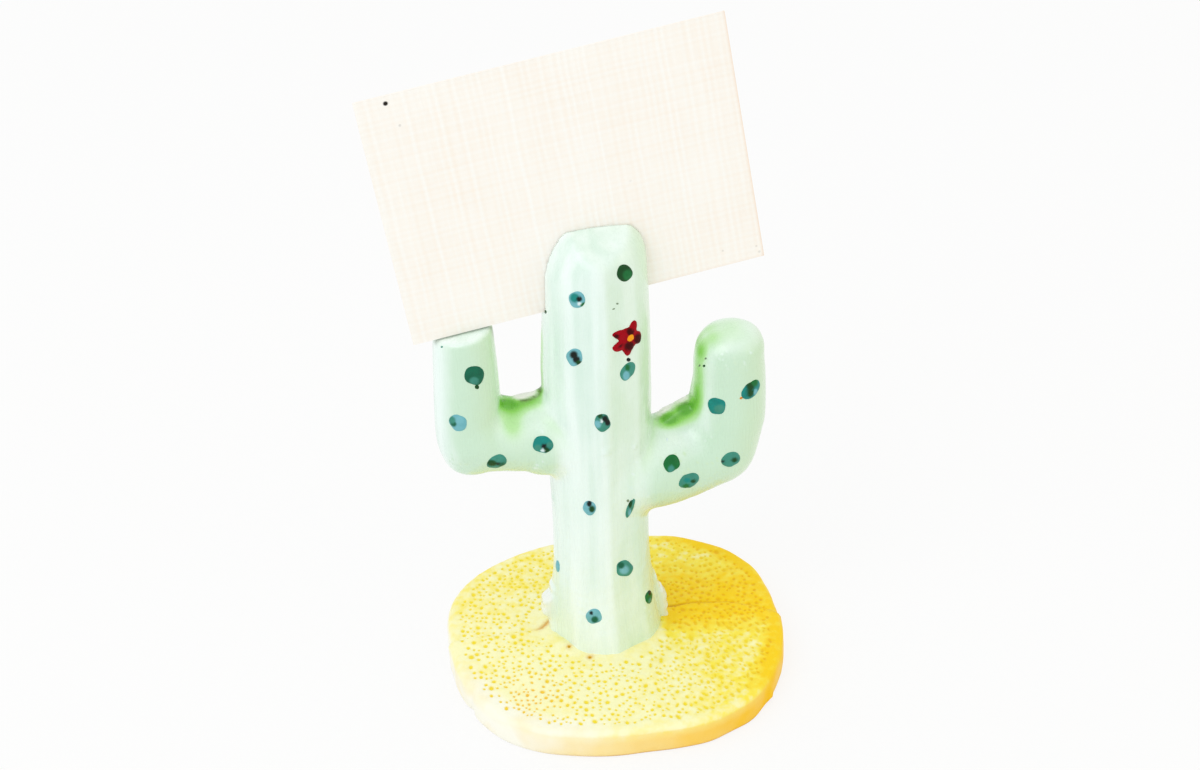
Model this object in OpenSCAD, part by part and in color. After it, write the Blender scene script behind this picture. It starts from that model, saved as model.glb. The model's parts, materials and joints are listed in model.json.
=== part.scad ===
// A place card holder: a small cast figure of a cactus on a disc of sand, painted by hand,
// with a blank card standing in the slot that is cut down through the top of its trunk.
// The figure was cast in a two-part mould, which parted along one upright plane.

/* [Base] */
// Half the width of the base, left to right
base_half_w = 25.1; // [21:0.1:31]
// Reach of the base in front of the parting plane
base_front = 26.7; // [22:0.1:33]
// Reach of the base behind the parting plane
base_back = 22.4; // [18:0.1:28]
// Thickness of the base
base_t = 4.5; // [3.2:0.1:6.5]
// Rounding of the base's top edge
base_edge = 0.9; // [0.4:0.1:1.4]
// Squareness of the base's outline, where 2 is an ellipse
base_square = 2.3; // [2:0.05:3]
// Extra squareness of the front left corner
base_corner = 0.4; // [0:0.05:1]
// How far the front half stands proud of the back half
base_step = 0.3; // [0.1:0.05:0.6]

/* [Trunk] */
// Height of the trunk's top above the table
trunk_h = 72.5; // [60:0.1:86]
// Distance of the trunk's axis to the left of the base's centre
trunk_left = 1.4; // [0:0.1:4]
// Radius of the foot, where it meets the base
foot_r = 8.5; // [7.6:0.1:10]
// Radius at the waist, below the arms
waist_r = 7.1; // [5.8:0.1:7.6]
// Radius at the chest, above the arms
chest_r = 7.9; // [6.8:0.1:9.4]
// Radius of the shoulder, where the domed top begins
crown_r = 6.9; // [5.4:0.1:7.6]
// Height of the waist
waist_z = 23; // [19:0.5:27]
// Height of the chest
chest_z = 48; // [42:0.5:50]
// Rise of the dome above the shoulder
crown_rise = 4.2; // [3.4:0.1:5]
// How far the top of the dome leans to the right
crown_lean = 0.9; // [0:0.1:1.6]

/* [Left arm] */
// Distance from the trunk's axis to the upright part
left_reach = 18.7; // [17:0.1:23]
// Height of the level part's axis
left_level_z = 39.4; // [34:0.1:42]
// Radius of the level part
left_level_r = 5.3; // [4.4:0.1:6]
// Radius at the tip
left_tip_r = 4.3; // [3.6:0.1:5]

/* [Right arm] */
// Distance from the trunk's axis to the upright part
right_reach = 19.5; // [18:0.1:24]
// Height at which the arm leaves the trunk
right_root_z = 31.6; // [27:0.1:35]
// Radius where it leaves the trunk
right_root_r = 6.4; // [5.4:0.1:7]
// Radius at the tip
right_tip_r = 4.9; // [4.2:0.1:5.8]
// How far the tip is below the slot's floor
right_drop = 8.7; // [6:0.1:11]

/* [Card slot] */
// Width of the slot, front to back
slot_w = 1; // [0.8:0.05:1.6]
// Depth of the slot below the trunk's top, on the trunk's axis
slot_depth = 11.5; // [9:0.1:13]
// Slant of the slot's floor, which is cut in one line with the left arm's tip
slot_slant = 8.5; // [0:0.5:12]
// How far the slot lies in front of the parting plane
slot_set = 1; // [0:0.1:2]

/* [Card] */
// Width of the card
card_w = 50.8; // [42:0.1:62]
// Height of the card
card_h = 38.1; // [30:0.1:46]
// Thickness of the card
card_t = 0.35; // [0.2:0.05:0.6]
// How far the card's middle lies to the left of the trunk's axis, along its lower edge
card_left = 0.7; // [0:0.1:4]
// Gap under the card, at the slot's floor and at the left arm's tip
card_gap = 0.1; // [0.05:0.05:0.3]

/* [Paint] */
// Diameter of a painted spot
spot_d = 2.6; // [1.8:0.1:3.2]
// Height of a painted spot at its middle
spot_rise = 0.25; // [0.15:0.05:0.5]
// How far the flower's middle is below the slot's floor
flower_drop = 3.6; // [3.2:0.1:8]
// Direction in which the flower faces, where 270 is the front
flower_turn = 294; // [270:1:310]
// Length of one petal
petal_l = 2.2; // [1.8:0.1:2.8]
// Diameter of the flower's yellow middle
eye_d = 1.3; // [0.9:0.1:1.8]

/* [Sand] */
// Number of holes pricked in the sand
prick_n = 150; // [0:10:300]
// Radius of a pricked hole
prick_r = 0.4; // [0.2:0.02:0.5]
// Depth of a pricked hole
prick_depth = 0.4; // [0.1:0.05:0.8]

/* [Hidden] */
sides = 30;            // sides of a limb's rings
steps = 3;             // rings for each stretch of a limb
dome_steps = 4;        // rings of a dome
spot_sides = 7;        // sides of a painted spot's rings
sunk = 1.5;            // how far the trunk reaches down into the base
flash_t = 0.5;         // thickness of the lip of resin that leaked between the moulds
flash_h = 0.5;         // how far the lip stands out
mint = "#b9e2cf";
sand = "#f2cd5c";
teal = "#2f7f7d";
red = "#9c1018";
yolk = "#f0a31c";
ivory = "#f8f4ec";

// Spline through rows of numbers
function between(a, b, c, d, t) =
    0.5 * (2 * b + (c - a) * t + (2 * a - 5 * b + 4 * c - d) * t * t + (3 * b - a - 3 * c + d) * t * t * t);
function along(p) = [
    for (i = [0:len(p) - 2], k = [0:steps - 1])
        between(p[max(i - 1, 0)], p[i], p[i + 1], p[min(i + 2, len(p) - 1)], k / steps),
    p[len(p) - 1]];

// Direction of a limb at one of its rows, each [x, z, radius]
function heading(rows, i) =
    let (d = rows[min(i + 1, len(rows) - 1)] - rows[max(i - 1, 0)], h = [d[0], d[1]]) h / norm(h);

// Rows that close a limb in a dome of a given rise, whose top may lean sideways;
// a low power gives it a full shoulder and a high one makes it a cone
function dome(rows, rise, power, lean = 0) =
    let (e = rows[len(rows) - 1], h = heading(rows, len(rows) - 1))
    [for (k = [1:dome_steps]) let (a = 84 * k / dome_steps)
        [e[0] + (h[0] * rise + lean) * sin(a), e[1] + h[1] * rise * sin(a), e[2] * pow(cos(a), power)]];

part_y = (base_front - base_back) / 2;
trunk_x = -trunk_left;
shoulder_z = trunk_h - crown_rise;
slot_y = part_y - slot_set;
slot_floor = trunk_h - slot_depth;
left_x = trunk_x - left_reach;
left_tip_z = slot_floor - left_reach * tan(slot_slant);
left_rise = left_tip_z - left_level_z;
right_x = trunk_x + right_reach;
right_tip_z = slot_floor - right_drop;
right_rise = right_tip_z - right_root_z;

// The limbs' spines, each row [x, z, radius] on the parting plane
trunk_rows = along([
    [trunk_x, base_t - sunk, foot_r],
    [trunk_x, base_t + 1, foot_r],
    [trunk_x, (base_t + waist_z) / 2, (foot_r + 3 * waist_r) / 4],
    [trunk_x, waist_z, waist_r],
    [trunk_x, (waist_z + chest_z) / 2, (waist_r + chest_r) / 2],
    [trunk_x, chest_z, chest_r],
    [trunk_x + crown_lean / 2, (chest_z + shoulder_z) / 2, (2 * chest_r + crown_r) / 3],
    [trunk_x + crown_lean / 2, shoulder_z, crown_r]]);
left_level_rows = along([
    [trunk_x, left_level_z - 0.19 * left_level_r, 0.94 * left_level_r],
    [trunk_x - waist_r, left_level_z - 0.13 * left_level_r, 1.08 * left_level_r],
    [trunk_x - waist_r - 0.57 * left_level_r, left_level_z - 0.04 * left_level_r, left_level_r],
    [left_x + 0.38 * left_level_r, left_level_z + 0.15 * left_level_r, 0.98 * left_level_r]]);
left_upright_rows = along([
    [left_x + 0.21 * left_level_r, left_level_z - 0.77 * left_level_r, 0.4 * left_level_r],
    [left_x + 0.15 * left_level_r, left_level_z - 0.45 * left_level_r, 0.81 * left_level_r],
    [left_x + 0.08 * left_level_r, left_level_z, 0.92 * left_level_r],
    [left_x + 0.02 * left_level_r, left_level_z + 0.57 * left_level_r, 0.92 * left_level_r],
    [left_x, left_level_z + left_rise / 2, 1.09 * left_tip_r],
    [left_x, left_tip_z - 0.28 * left_tip_r, left_tip_r]]);
right_rows = along([
    [trunk_x, right_root_z - 0.09 * right_root_r, 0.91 * right_root_r],
    [trunk_x + waist_r, right_root_z + 0.03 * right_root_r, 1.06 * right_root_r],
    [trunk_x + right_reach * 0.67, right_root_z + right_rise * 0.05, 0.98 * right_root_r],
    [right_x - 0.16 * right_root_r, right_root_z + right_rise * 0.22, 0.93 * right_root_r],
    [right_x - 0.05 * right_root_r, right_root_z + right_rise * 0.5, 1.09 * right_tip_r],
    [right_x, right_tip_z - 0.33 * right_tip_r, 1.02 * right_tip_r]]);

// Where the painted spots sit on each limb, each [share of the limb's length, direction round it]
trunk_spots = [
    [0.985, 297], [0.945, 236], [0.815, 234], [0.775, 294], [0.67, 265], [0.505, 247], [0.495, 297],
    [0.355, 287], [0.24, 323], [0.235, 248], [0.33, 192], [0.91, 40], [0.86, 110], [0.77, 70],
    [0.66, 105], [0.53, 60], [0.42, 120], [0.34, 75], [0.24, 115], [0.22, 40]];
left_level_spots = [[0.58, 287], [0.92, 251], [0.7, 100]];
left_upright_spots = [[0.87, 280], [0.68, 244], [0.82, 110], [0.6, 75]];
right_spots = [
    [0.8, 240], [0.86, 297], [0.29, 243], [0.54, 292], [0.365, 277], [0.85, 110], [0.62, 70], [0.4, 115]];

// Triangles between rings of n points, where every other ring is turned by half a step
function ring_walls(rings, n) = [
    for (i = [0:rings - 2], k = [0:n - 1])
        let (a = i * n + k, b = i * n + (k + 1) % n)
            each i % 2 == 0
                ? [[a, a + n, b], [b, a + n, b + n]]
                : [[a, a + n, b + n], [a, b + n, b]]];
function ring_ends(rings, n) = [[for (k = [0:n - 1]) k], [for (k = [n - 1:-1:0]) (rings - 1) * n + k]];

// Tube of rings along rows, closed at both ends
module limb(rows) {
    points = [
        for (i = [0:len(rows) - 1]) let (h = heading(rows, i), r = rows[i][2])
            for (k = [0:sides - 1]) let (a = 360 * (k + i % 2 / 2) / sides)
                [rows[i][0] + h[1] * r * cos(a), part_y + r * sin(a), rows[i][1] - h[0] * r * cos(a)]];
    polyhedron(points, concat(ring_walls(len(rows), sides), ring_ends(len(rows), sides)), convexity = 6);
}

// Places its children on a limb's skin, a share of the way along it and at an angle round it
module on_skin(rows, share, a) {
    at = share * (len(rows) - 1);
    i = min(floor(at), len(rows) - 2);
    row = rows[i] + (at - i) * (rows[i + 1] - rows[i]);
    h = heading(rows, i);
    n = [h[1] * cos(a), sin(a), -h[0] * cos(a)];
    translate([row[0] + row[2] * n[0], part_y + row[2] * n[1], row[1] + row[2] * n[2]])
        rotate([0, acos(n[2]), atan2(n[1], n[0])]) children();
}

// Share of an upright limb's length at which it reaches a height
function share_at(rows, z) =
    lookup(z, [for (i = [0:len(rows) - 1]) [rows[i][1], i / (len(rows) - 1)]]);

// The base's outline at an angle, measured from the middle of the parting line
function outline_r(a) =
    let (deep = a < 180 ? base_back : base_front,
         n = base_square + base_corner * max(0, cos(a - 230)))
    pow(pow(abs(cos(a)) / base_half_w, n) + pow(abs(sin(a)) / deep, n), -1 / n);
function outline(from, grow) = [
    for (k = [0:24]) let (a = from + 7.5 * k, r = outline_r(a % 360) + grow) [r * cos(a), r * sin(a)]];

// One half of the base, with its top edge rounded
module base_half(from, top, proud) {
    hull() {
        linear_extrude(top - base_edge) polygon(outline(from, proud));
        for (a = [30:30:90]) {
            translate([0, 0, top - base_edge + base_edge * sin(a) - 0.01])
                linear_extrude(0.01) polygon(outline(from, proud - base_edge * (1 - cos(a))));
        }
    }
}

// A point of the sunflower pattern in which the holes are pricked, shaken a little
shakes = rands(-0.7, 0.7, 2 * max(prick_n, 1), 5);
function prick_at(i) =
    let (a = (i * 137.508) % 360, r = sqrt((i + 0.5) / prick_n) * (outline_r(a) - 2.5))
    [r * cos(a) + shakes[2 * i], r * sin(a) + shakes[2 * i + 1]];

module sand_base() {
    back_t = base_t - base_step / 2;
    difference() {
        union() {
            base_half(180, base_t, base_step);
            base_half(0, back_t, 0);
        }
        for (i = [0:prick_n - 1]) {
            at = prick_at(i);
            if (norm(at - [trunk_x, 0]) > foot_r + 1.5) {
                translate([at[0], at[1], (at[1] < 0 ? base_t : back_t) - prick_depth])
                    cylinder(prick_depth + 0.1, 0.15, prick_r, $fn = 5);
            }
        }
    }
}

// Lip of resin that leaked between the halves of the mould, over strips [x, bottom, top]
module flash(strips) {
    for (i = [0:len(strips) - 2]) {
        hull() {
            for (s = [strips[i], strips[i + 1]]) {
                translate([s[0], part_y - flash_t / 2, s[1]]) cube([0.1, flash_t, s[2] - s[1]]);
            }
        }
    }
}

module casting_flash() {
    left_top = left_level_z + left_level_r;
    left_gap = left_reach - left_tip_r - chest_r;
    right_top = right_root_z + right_root_r;
    right_gap = right_reach - right_tip_r - chest_r;
    flash([for (k = [0:0.25:1])
        [trunk_x - chest_r - left_gap * k, left_level_z, left_top + flash_h + 1.6 * pow(1 - k, 3)]]);
    flash([for (k = [0:0.25:1])
        [trunk_x + chest_r + right_gap * k, right_root_z, right_top + 1.2 + flash_h + 1.6 * k * k]]);
    for (side = [-1, 1]) {
        flash([for (k = [0:0.25:1])
            [trunk_x + side * (waist_r + (foot_r + flash_h - waist_r) * k), base_t - 1,
             base_t + 0.3 + 8 * (1 - k * k)]]);
    }
}

// Low drop of paint, whose skirt reaches into what it is on
module spot(d) {
    rings = [[-2 * spot_rise, 1], [0, 0.95], [0.7 * spot_rise, 0.65], [spot_rise, 0.2]];
    points = [
        for (i = [0:len(rings) - 1], k = [0:spot_sides - 1])
            let (a = 360 * (k + i % 2 / 2) / spot_sides, r = rings[i][1] * d / 2)
                [r * cos(a), r * sin(a), rings[i][0]]];
    polyhedron(points, concat(ring_walls(len(rings), spot_sides), ring_ends(len(rings), spot_sides)));
}

module painted_spots(rows, spots) {
    for (s = spots) {
        on_skin(rows, s[0], s[1]) spot(spot_d);
    }
}

module flower() {
    middle = share_at(trunk_rows, slot_floor - flower_drop);
    up = share_at(trunk_rows, slot_floor - flower_drop + petal_l / 2) - middle;
    across = petal_l / 2 / chest_r * 180 / PI;
    color(red) {
        for (a = [18:72:306]) {
            on_skin(trunk_rows, middle + up * sin(a), flower_turn + across * cos(a))
                rotate([0, 0, a + 90]) scale([1, 0.75, 1]) spot(petal_l);
        }
    }
    color(yolk) on_skin(trunk_rows, middle, flower_turn) spot(eye_d);
}

// A frame on the slot's slanted floor, over the trunk's axis, with X along the card's lower edge
module slot_frame() {
    translate([trunk_x, slot_y, slot_floor]) rotate([0, -slot_slant, 0]) children();
}

module cactus_figure() {
    difference() {
        union() {
            color(sand) translate([0, part_y, 0]) sand_base();
            color(mint) {
                limb(concat(trunk_rows, dome(trunk_rows, crown_rise, 1.1, crown_lean / 2)));
                limb(concat(left_level_rows, dome(left_level_rows, 0.38 * left_level_r, 0.6)));
                limb(concat(left_upright_rows, dome(left_upright_rows, 0.47 * left_tip_r, 0.6)));
                limb(concat(right_rows, dome(right_rows, 0.33 * right_tip_r, 0.4)));
                casting_flash();
            }
            color(teal) {
                painted_spots(trunk_rows, trunk_spots);
                painted_spots(left_level_rows, left_level_spots);
                painted_spots(left_upright_rows, left_upright_spots);
                painted_spots(right_rows, right_spots);
            }
            flower();
        }
        // the slot
        slot_frame() translate([-2 * chest_r, -slot_w / 2, 0]) cube([4 * chest_r, slot_w, 2 * slot_depth]);
        // the left arm's tip, cut flat in one line with the slot's floor
        slot_frame() translate([-2 * left_reach, -2 * left_tip_r, 0])
            cube([2 * left_reach - chest_r - 1, 4 * left_tip_r, 2 * left_tip_r]);
    }
}

module place_card() {
    color(ivory) slot_frame()
        translate([-card_w / 2 - card_left, -card_t / 2, card_gap]) cube([card_w, card_t, card_h]);
}

cactus_figure();
place_card();
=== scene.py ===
"""Looks of a place card holder: a cast and hand-painted cactus figure on a disc of pricked sand.

A blank card with a linen emboss stands in the slot of the trunk. Sizes are in millimetres, in the
frame's own axes, and are turned into metres where a mesh is made.
"""

import json
import logging
import math
from dataclasses import dataclass, replace
from enum import Enum
from itertools import product

import bpy
import numpy as np
from mathutils import Matrix, Vector
from mathutils.geometry import delaunay_2d_cdt


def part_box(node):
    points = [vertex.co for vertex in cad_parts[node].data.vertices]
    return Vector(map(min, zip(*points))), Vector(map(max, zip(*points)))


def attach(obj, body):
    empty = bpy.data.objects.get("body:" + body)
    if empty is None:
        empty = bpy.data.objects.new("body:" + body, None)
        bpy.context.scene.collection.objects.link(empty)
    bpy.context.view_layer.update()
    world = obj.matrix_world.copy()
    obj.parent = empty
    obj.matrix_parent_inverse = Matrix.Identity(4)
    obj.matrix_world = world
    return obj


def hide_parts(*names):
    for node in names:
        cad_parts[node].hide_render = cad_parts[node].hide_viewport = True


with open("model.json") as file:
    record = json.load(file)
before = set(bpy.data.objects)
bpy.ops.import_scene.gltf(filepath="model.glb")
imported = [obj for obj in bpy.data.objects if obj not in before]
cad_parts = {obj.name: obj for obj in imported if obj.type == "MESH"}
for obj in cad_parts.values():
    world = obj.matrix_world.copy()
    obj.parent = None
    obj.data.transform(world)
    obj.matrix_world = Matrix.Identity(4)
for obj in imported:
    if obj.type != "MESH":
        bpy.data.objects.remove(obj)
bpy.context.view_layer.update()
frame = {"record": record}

LOG = logging.getLogger("place_card_holder")
MM = 0.001
BODY = "root"
FIGURE_NODE = "cactus_figure"
CARD_NODE = "place_card"
Triple = tuple[float, float, float]
Pair = tuple[float, float]


def smooth_min(a: np.ndarray, b: np.ndarray, soft: float | np.ndarray) -> np.ndarray:
    """Joins two solids with a fillet.

    Args:
        a: Signed distance to one solid.
        b: Signed distance to the other.
        soft: Reach of the fillet.

    Returns:
        Signed distance to both together.
    """
    h = np.clip(0.5 + 0.5 * (b - a) / soft, 0, 1)
    return b * (1 - h) + a * h - soft * h * (1 - h)


def smooth_max(a: np.ndarray, b: np.ndarray, soft: float | np.ndarray) -> np.ndarray:
    """Returns the signed distance to what two solids share, with its edge rounded by soft."""
    return -smooth_min(-a, -b, soft)


def ramp(low: float, high: float, value: np.ndarray) -> np.ndarray:
    """Returns 0 below low, 1 above high and a soft step between them."""
    t = np.clip((value - low) / (high - low), 0, 1)
    return t * t * (3 - 2 * t)


def bell(value: np.ndarray, middle: float | np.ndarray, spread: float | np.ndarray) -> np.ndarray:
    """Returns a soft bump, which is 1 at the middle and dies away over the spread."""
    return np.exp(-(((value - middle) / spread) ** 2))


def turned(turn: np.ndarray, toward: float) -> np.ndarray:
    """Returns how far directions in degrees lie from another one, from -180 to 180."""
    return (turn - toward + 180) % 360 - 180


def ripple(x: np.ndarray, y: np.ndarray, z: np.ndarray, pitch: float, seed: int) -> np.ndarray:
    """Makes soft random waves.

    Args:
        x: Places, left to right.
        y: Places, front to back.
        z: Heights.
        pitch: Middle length of a wave.
        seed: Seed of the waves' directions.

    Returns:
        Values from about -1 to 1.
    """
    waves = 6
    rng = np.random.default_rng(seed)
    total = 0.0
    for _ in range(waves):
        way = rng.normal(size=3)
        way *= 2 * math.pi / (pitch * rng.uniform(0.7, 1.5) * np.linalg.norm(way))
        total = total + np.sin(way[0] * x + way[1] * y + way[2] * z + rng.uniform(0, 2 * math.pi))
    return total * (1.6 / waves)


def spline(rows: tuple[Triple, ...], steps: int) -> np.ndarray:
    """Draws a smooth line through rows of numbers.

    Args:
        rows: The rows that it passes through.
        steps: Stretches between one row and the next.

    Returns:
        The rows of the line.
    """
    given = np.array(rows)
    padded = np.vstack([given[:1], given, given[-1:]])
    t = np.linspace(0, 1, steps, endpoint=False)[:, None]
    parts = []
    for a, b, c, d in zip(padded, padded[1:], padded[2:], padded[3:]):
        cubic = 2 * b + (c - a) * t + (2 * a - 5 * b + 4 * c - d) * t**2 + (3 * b - a - 3 * c + d) * t**3
        parts.append(cubic / 2)
    return np.vstack([*parts, given[-1:]])


def surface_net(value: np.ndarray, low: np.ndarray, pitch: float) -> tuple[np.ndarray, np.ndarray]:
    """Wraps the zero level of a field on a regular grid in quads.

    Args:
        value: The field at the grid's points, negative inside.
        low: Place of the grid's first point.
        pitch: Distance between the grid's points.

    Returns:
        The points and the quads, which face outwards.
    """
    inside = value < 0
    size = np.array(value.shape) - 1
    corners = list(product((0, 1), repeat=3))
    count = sum(inside[i:size[0] + i, j:size[1] + j, k:size[2] + k].astype(np.int8) for i, j, k in corners)
    mixed = (count > 0) & (count < 8)
    cells = np.argwhere(mixed)
    index = np.full(mixed.shape, -1)
    index[mixed] = np.arange(len(cells))
    total = np.zeros((len(cells), 3))
    hits = np.zeros(len(cells))
    for start, axis in product(corners, range(3)):
        if start[axis]:
            continue
        end = np.array(start)
        end[axis] = 1
        a = value[tuple((cells + start).T)]
        b = value[tuple((cells + end).T)]
        cut = (a < 0) != (b < 0)
        share = (a[cut] / (a[cut] - b[cut]))[:, None]
        total[cut] += start + share * (end - start)
        hits[cut] += 1
    points = low + pitch * (cells + total / hits[:, None])
    quads = []
    for axis in range(3):
        near, far = [slice(None)] * 3, [slice(None)] * 3
        near[axis], far[axis] = slice(None, -1), slice(1, None)
        crossing = np.argwhere(inside[tuple(near)] != inside[tuple(far)])
        u, v = np.eye(3, dtype=int)[(axis + 1) % 3], np.eye(3, dtype=int)[(axis + 2) % 3]
        ring = [index[tuple((crossing - step).T)] for step in (0 * u, u, u + v, v)]
        quad = np.stack(ring, axis=1)
        outward = inside[tuple(crossing.T)]
        quads.append(np.where(outward[:, None], quad, quad[:, ::-1]))
    return points, np.vstack(quads)


def mesh_object(name: str, points: np.ndarray, faces: list) -> bpy.types.Object:
    """Makes a smooth-shaded mesh object at the origin.

    Args:
        name: The object's name.
        points: Its points, in millimetres.
        faces: Its faces, each a row of point numbers.

    Returns:
        The object.
    """
    mesh = bpy.data.meshes.new(name)
    mesh.from_pydata((np.asarray(points) * MM).tolist(), [], faces)
    mesh.validate()
    mesh.shade_smooth()
    made = bpy.data.objects.new(name, mesh)
    bpy.context.scene.collection.objects.link(made)
    return made


def mask(made: bpy.types.Object, name: str, values: np.ndarray) -> None:
    """Keeps one number per point on a mesh, for its material to read."""
    layer = made.data.attributes.new(name, "FLOAT", "POINT")
    layer.data.foreach_set("value", np.asarray(values, np.float32))


def colours(made: bpy.types.Object, name: str, values: np.ndarray) -> None:
    """Keeps one linear colour per point on a mesh, for its material to read.

    Args:
        made: The mesh's object.
        name: The colours' name.
        values: Rows of red, green and blue.
    """
    layer = made.data.attributes.new(name, "FLOAT_COLOR", "POINT")
    opaque = np.hstack([values, np.ones((len(values), 1))])
    layer.data.foreach_set("color", opaque.astype(np.float32).ravel())


def linear(hue: str) -> tuple[float, float, float, float]:
    """Turns a screen colour into a linear one.

    Args:
        hue: The screen colour in hexadecimal, such as #e0f6e8.

    Returns:
        Its red, green, blue and alpha.
    """
    screen = [int(hue[i:i + 2], 16) / 255 for i in (1, 3, 5)]
    bare = [c / 12.92 if c <= 0.04045 else ((c + 0.055) / 1.055) ** 2.4 for c in screen]
    return (*bare, 1.0)


class Sheet:
    """Adds and links the nodes of one node tree."""

    def __init__(self, tree: bpy.types.NodeTree) -> None:
        """Takes the tree to draw in."""
        self.tree = tree

    def add(self, kind: str, inputs: dict | None = None, **settings: object) -> bpy.types.Node:
        """Adds one node.

        Args:
            kind: The node's type, without the leading ShaderNode.
            inputs: Values or sockets for its inputs, by name or number.
            settings: Its own settings.

        Returns:
            The node.
        """
        made = self.tree.nodes.new("ShaderNode" + kind)
        for name, value in settings.items():
            setattr(made, name, value)
        self.feed(made, inputs or {})
        return made

    def feed(self, node: bpy.types.Node, inputs: dict) -> None:
        """Links or sets the inputs of a node.

        Args:
            node: The node.
            inputs: Values or sockets for its inputs, by name or number.
        """
        for name, value in inputs.items():
            if isinstance(value, bpy.types.NodeSocket):
                self.tree.links.new(value, node.inputs[name])
            else:
                node.inputs[name].default_value = value

    def mix(self, share: object, a: object, b: object, way: str = "MIX") -> bpy.types.NodeSocket:
        """Returns colour a turned towards colour b by a share."""
        made = self.add("Mix", {0: share, 6: a, 7: b}, data_type="RGBA", blend_type=way)
        return made.outputs[2]

    def plus(self, a: object, b: object) -> bpy.types.NodeSocket:
        """Returns the sum of two numbers."""
        return self.add("Math", {0: a, 1: b}, operation="ADD").outputs[0]

    def times(self, a: object, b: object) -> bpy.types.NodeSocket:
        """Returns the product of two numbers."""
        return self.add("Math", {0: a, 1: b}, operation="MULTIPLY").outputs[0]

    def larger(self, a: object, b: object) -> bpy.types.NodeSocket:
        """Returns the larger of two numbers."""
        return self.add("Math", {0: a, 1: b}, operation="MAXIMUM").outputs[0]

    def ramp(self, value: bpy.types.NodeSocket, *stops: tuple[float, str]) -> bpy.types.NodeSocket:
        """Turns a value into a colour.

        Args:
            value: The value.
            stops: The colours that it runs through, each a value and a screen colour.

        Returns:
            The colour.
        """
        made = self.add("ValToRGB", {0: value})
        bar = made.color_ramp
        while len(bar.elements) < len(stops):
            bar.elements.new(0.5)
        for element, (place, hue) in zip(bar.elements, stops):
            element.position = place
            element.color = linear(hue)
        return made.outputs[0]

    def span(self, value: object, low: float, high: float, a: float, b: float) -> bpy.types.NodeSocket:
        """Returns a value stretched from low and high to a and b, and held there."""
        return self.add("MapRange", {0: value, 1: low, 2: high, 3: a, 4: b}).outputs[0]

    def bump(self, height: object, strength: float, distance: float) -> bpy.types.NodeSocket:
        """Returns the normal of a skin that a height from 0 to 1 raises by a distance in metres."""
        return self.add("Bump", {"Strength": strength, "Distance": distance, "Height": height}).outputs[0]

    def stored(self, name: str, output: str = "Fac") -> bpy.types.NodeSocket:
        """Returns what mask() or colours() kept on the mesh."""
        return self.add("Attribute", attribute_name=name).outputs[output]

    def place(self) -> bpy.types.NodeSocket:
        """Returns the place on the object, in metres, in the frame's axes."""
        return self.add("TexCoord").outputs["Object"]


class Effects:
    """Shader node groups that more than one finish uses, each built once."""

    _made: dict[str, bpy.types.NodeTree] = {}

    @classmethod
    def _group(cls, name: str, inputs: dict[str, float], output: str) -> tuple:
        """Starts a group.

        Args:
            name: The group's name.
            inputs: Its float inputs, with what each starts at.
            output: Its float output.

        Returns:
            The group's sheet, and its input and output nodes.
        """
        tree = bpy.data.node_groups.new(name, "ShaderNodeTree")
        for label, start in inputs.items():
            socket = tree.interface.new_socket(label, in_out="INPUT", socket_type="NodeSocketFloat")
            socket.default_value = start
        tree.interface.new_socket(output, in_out="OUTPUT", socket_type="NodeSocketFloat")
        cls._made[name] = tree
        return Sheet(tree), tree.nodes.new("NodeGroupInput"), tree.nodes.new("NodeGroupOutput")

    @classmethod
    def grain(cls) -> bpy.types.NodeTree:
        """Makes a fine even grain: its Scale gives a Height from 0 to 1.

        Returns:
            The group.
        """
        if "grain" not in cls._made:
            sheet, given, result = cls._group("grain", {"Scale": 3000.0}, "Height")
            noise = sheet.add("TexNoise", {"Vector": sheet.place(), "Scale": given.outputs[0], "Detail": 3.0})
            sheet.feed(result, {0: noise.outputs[0]})
        return cls._made["grain"]

    @classmethod
    def blotch(cls) -> bpy.types.NodeTree:
        """Makes soft blotches: Scale and Contrast give a Mask from 0 to 1.

        Returns:
            The group.
        """
        if "blotch" not in cls._made:
            sheet, given, result = cls._group("blotch", {"Scale": 150.0, "Contrast": 2.0}, "Mask")
            noise = sheet.add("TexNoise", {"Vector": sheet.place(), "Scale": given.outputs[0], "Detail": 2.0})
            more = sheet.times(sheet.plus(noise.outputs[0], -0.5), given.outputs[1])
            back = sheet.add("Math", {0: more, 1: 0.5}, operation="ADD", use_clamp=True)
            sheet.feed(result, {0: back.outputs[0]})
        return cls._made["blotch"]

    @classmethod
    def strokes(cls) -> bpy.types.NodeTree:
        """Makes upright brush strokes: Across and Along give a Mask from 0 to 1.

        Returns:
            The group.
        """
        if "strokes" not in cls._made:
            sheet, given, result = cls._group("strokes", {"Across": 600.0, "Along": 40.0}, "Mask")
            scale = sheet.add("CombineXYZ", {0: given.outputs[0], 1: given.outputs[0], 2: given.outputs[1]})
            drawn = sheet.add("VectorMath", {0: sheet.place(), 1: scale.outputs[0]}, operation="MULTIPLY")
            noise = sheet.add("TexNoise", {"Vector": drawn.outputs[0], "Scale": 1.0, "Detail": 2.0})
            sheet.feed(result, {0: noise.outputs[0]})
        return cls._made["strokes"]

    @staticmethod
    def use(sheet: Sheet, tree: bpy.types.NodeTree, **values: float) -> bpy.types.NodeSocket:
        """Places a group in a material.

        Args:
            sheet: The material's sheet.
            tree: The group.
            values: The group's inputs.

        Returns:
            The group's first output.
        """
        made = sheet.add("Group", node_tree=tree)
        sheet.feed(made, values)
        return made.outputs[0]


def new_material(name: str) -> tuple[bpy.types.Material, Sheet, bpy.types.Node]:
    """Starts a material.

    Args:
        name: The material's name.

    Returns:
        The material, its sheet and its Principled shader.
    """
    made = bpy.data.materials.new(name)
    made.use_nodes = True
    return made, Sheet(made.node_tree), made.node_tree.nodes["Principled BSDF"]


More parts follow.
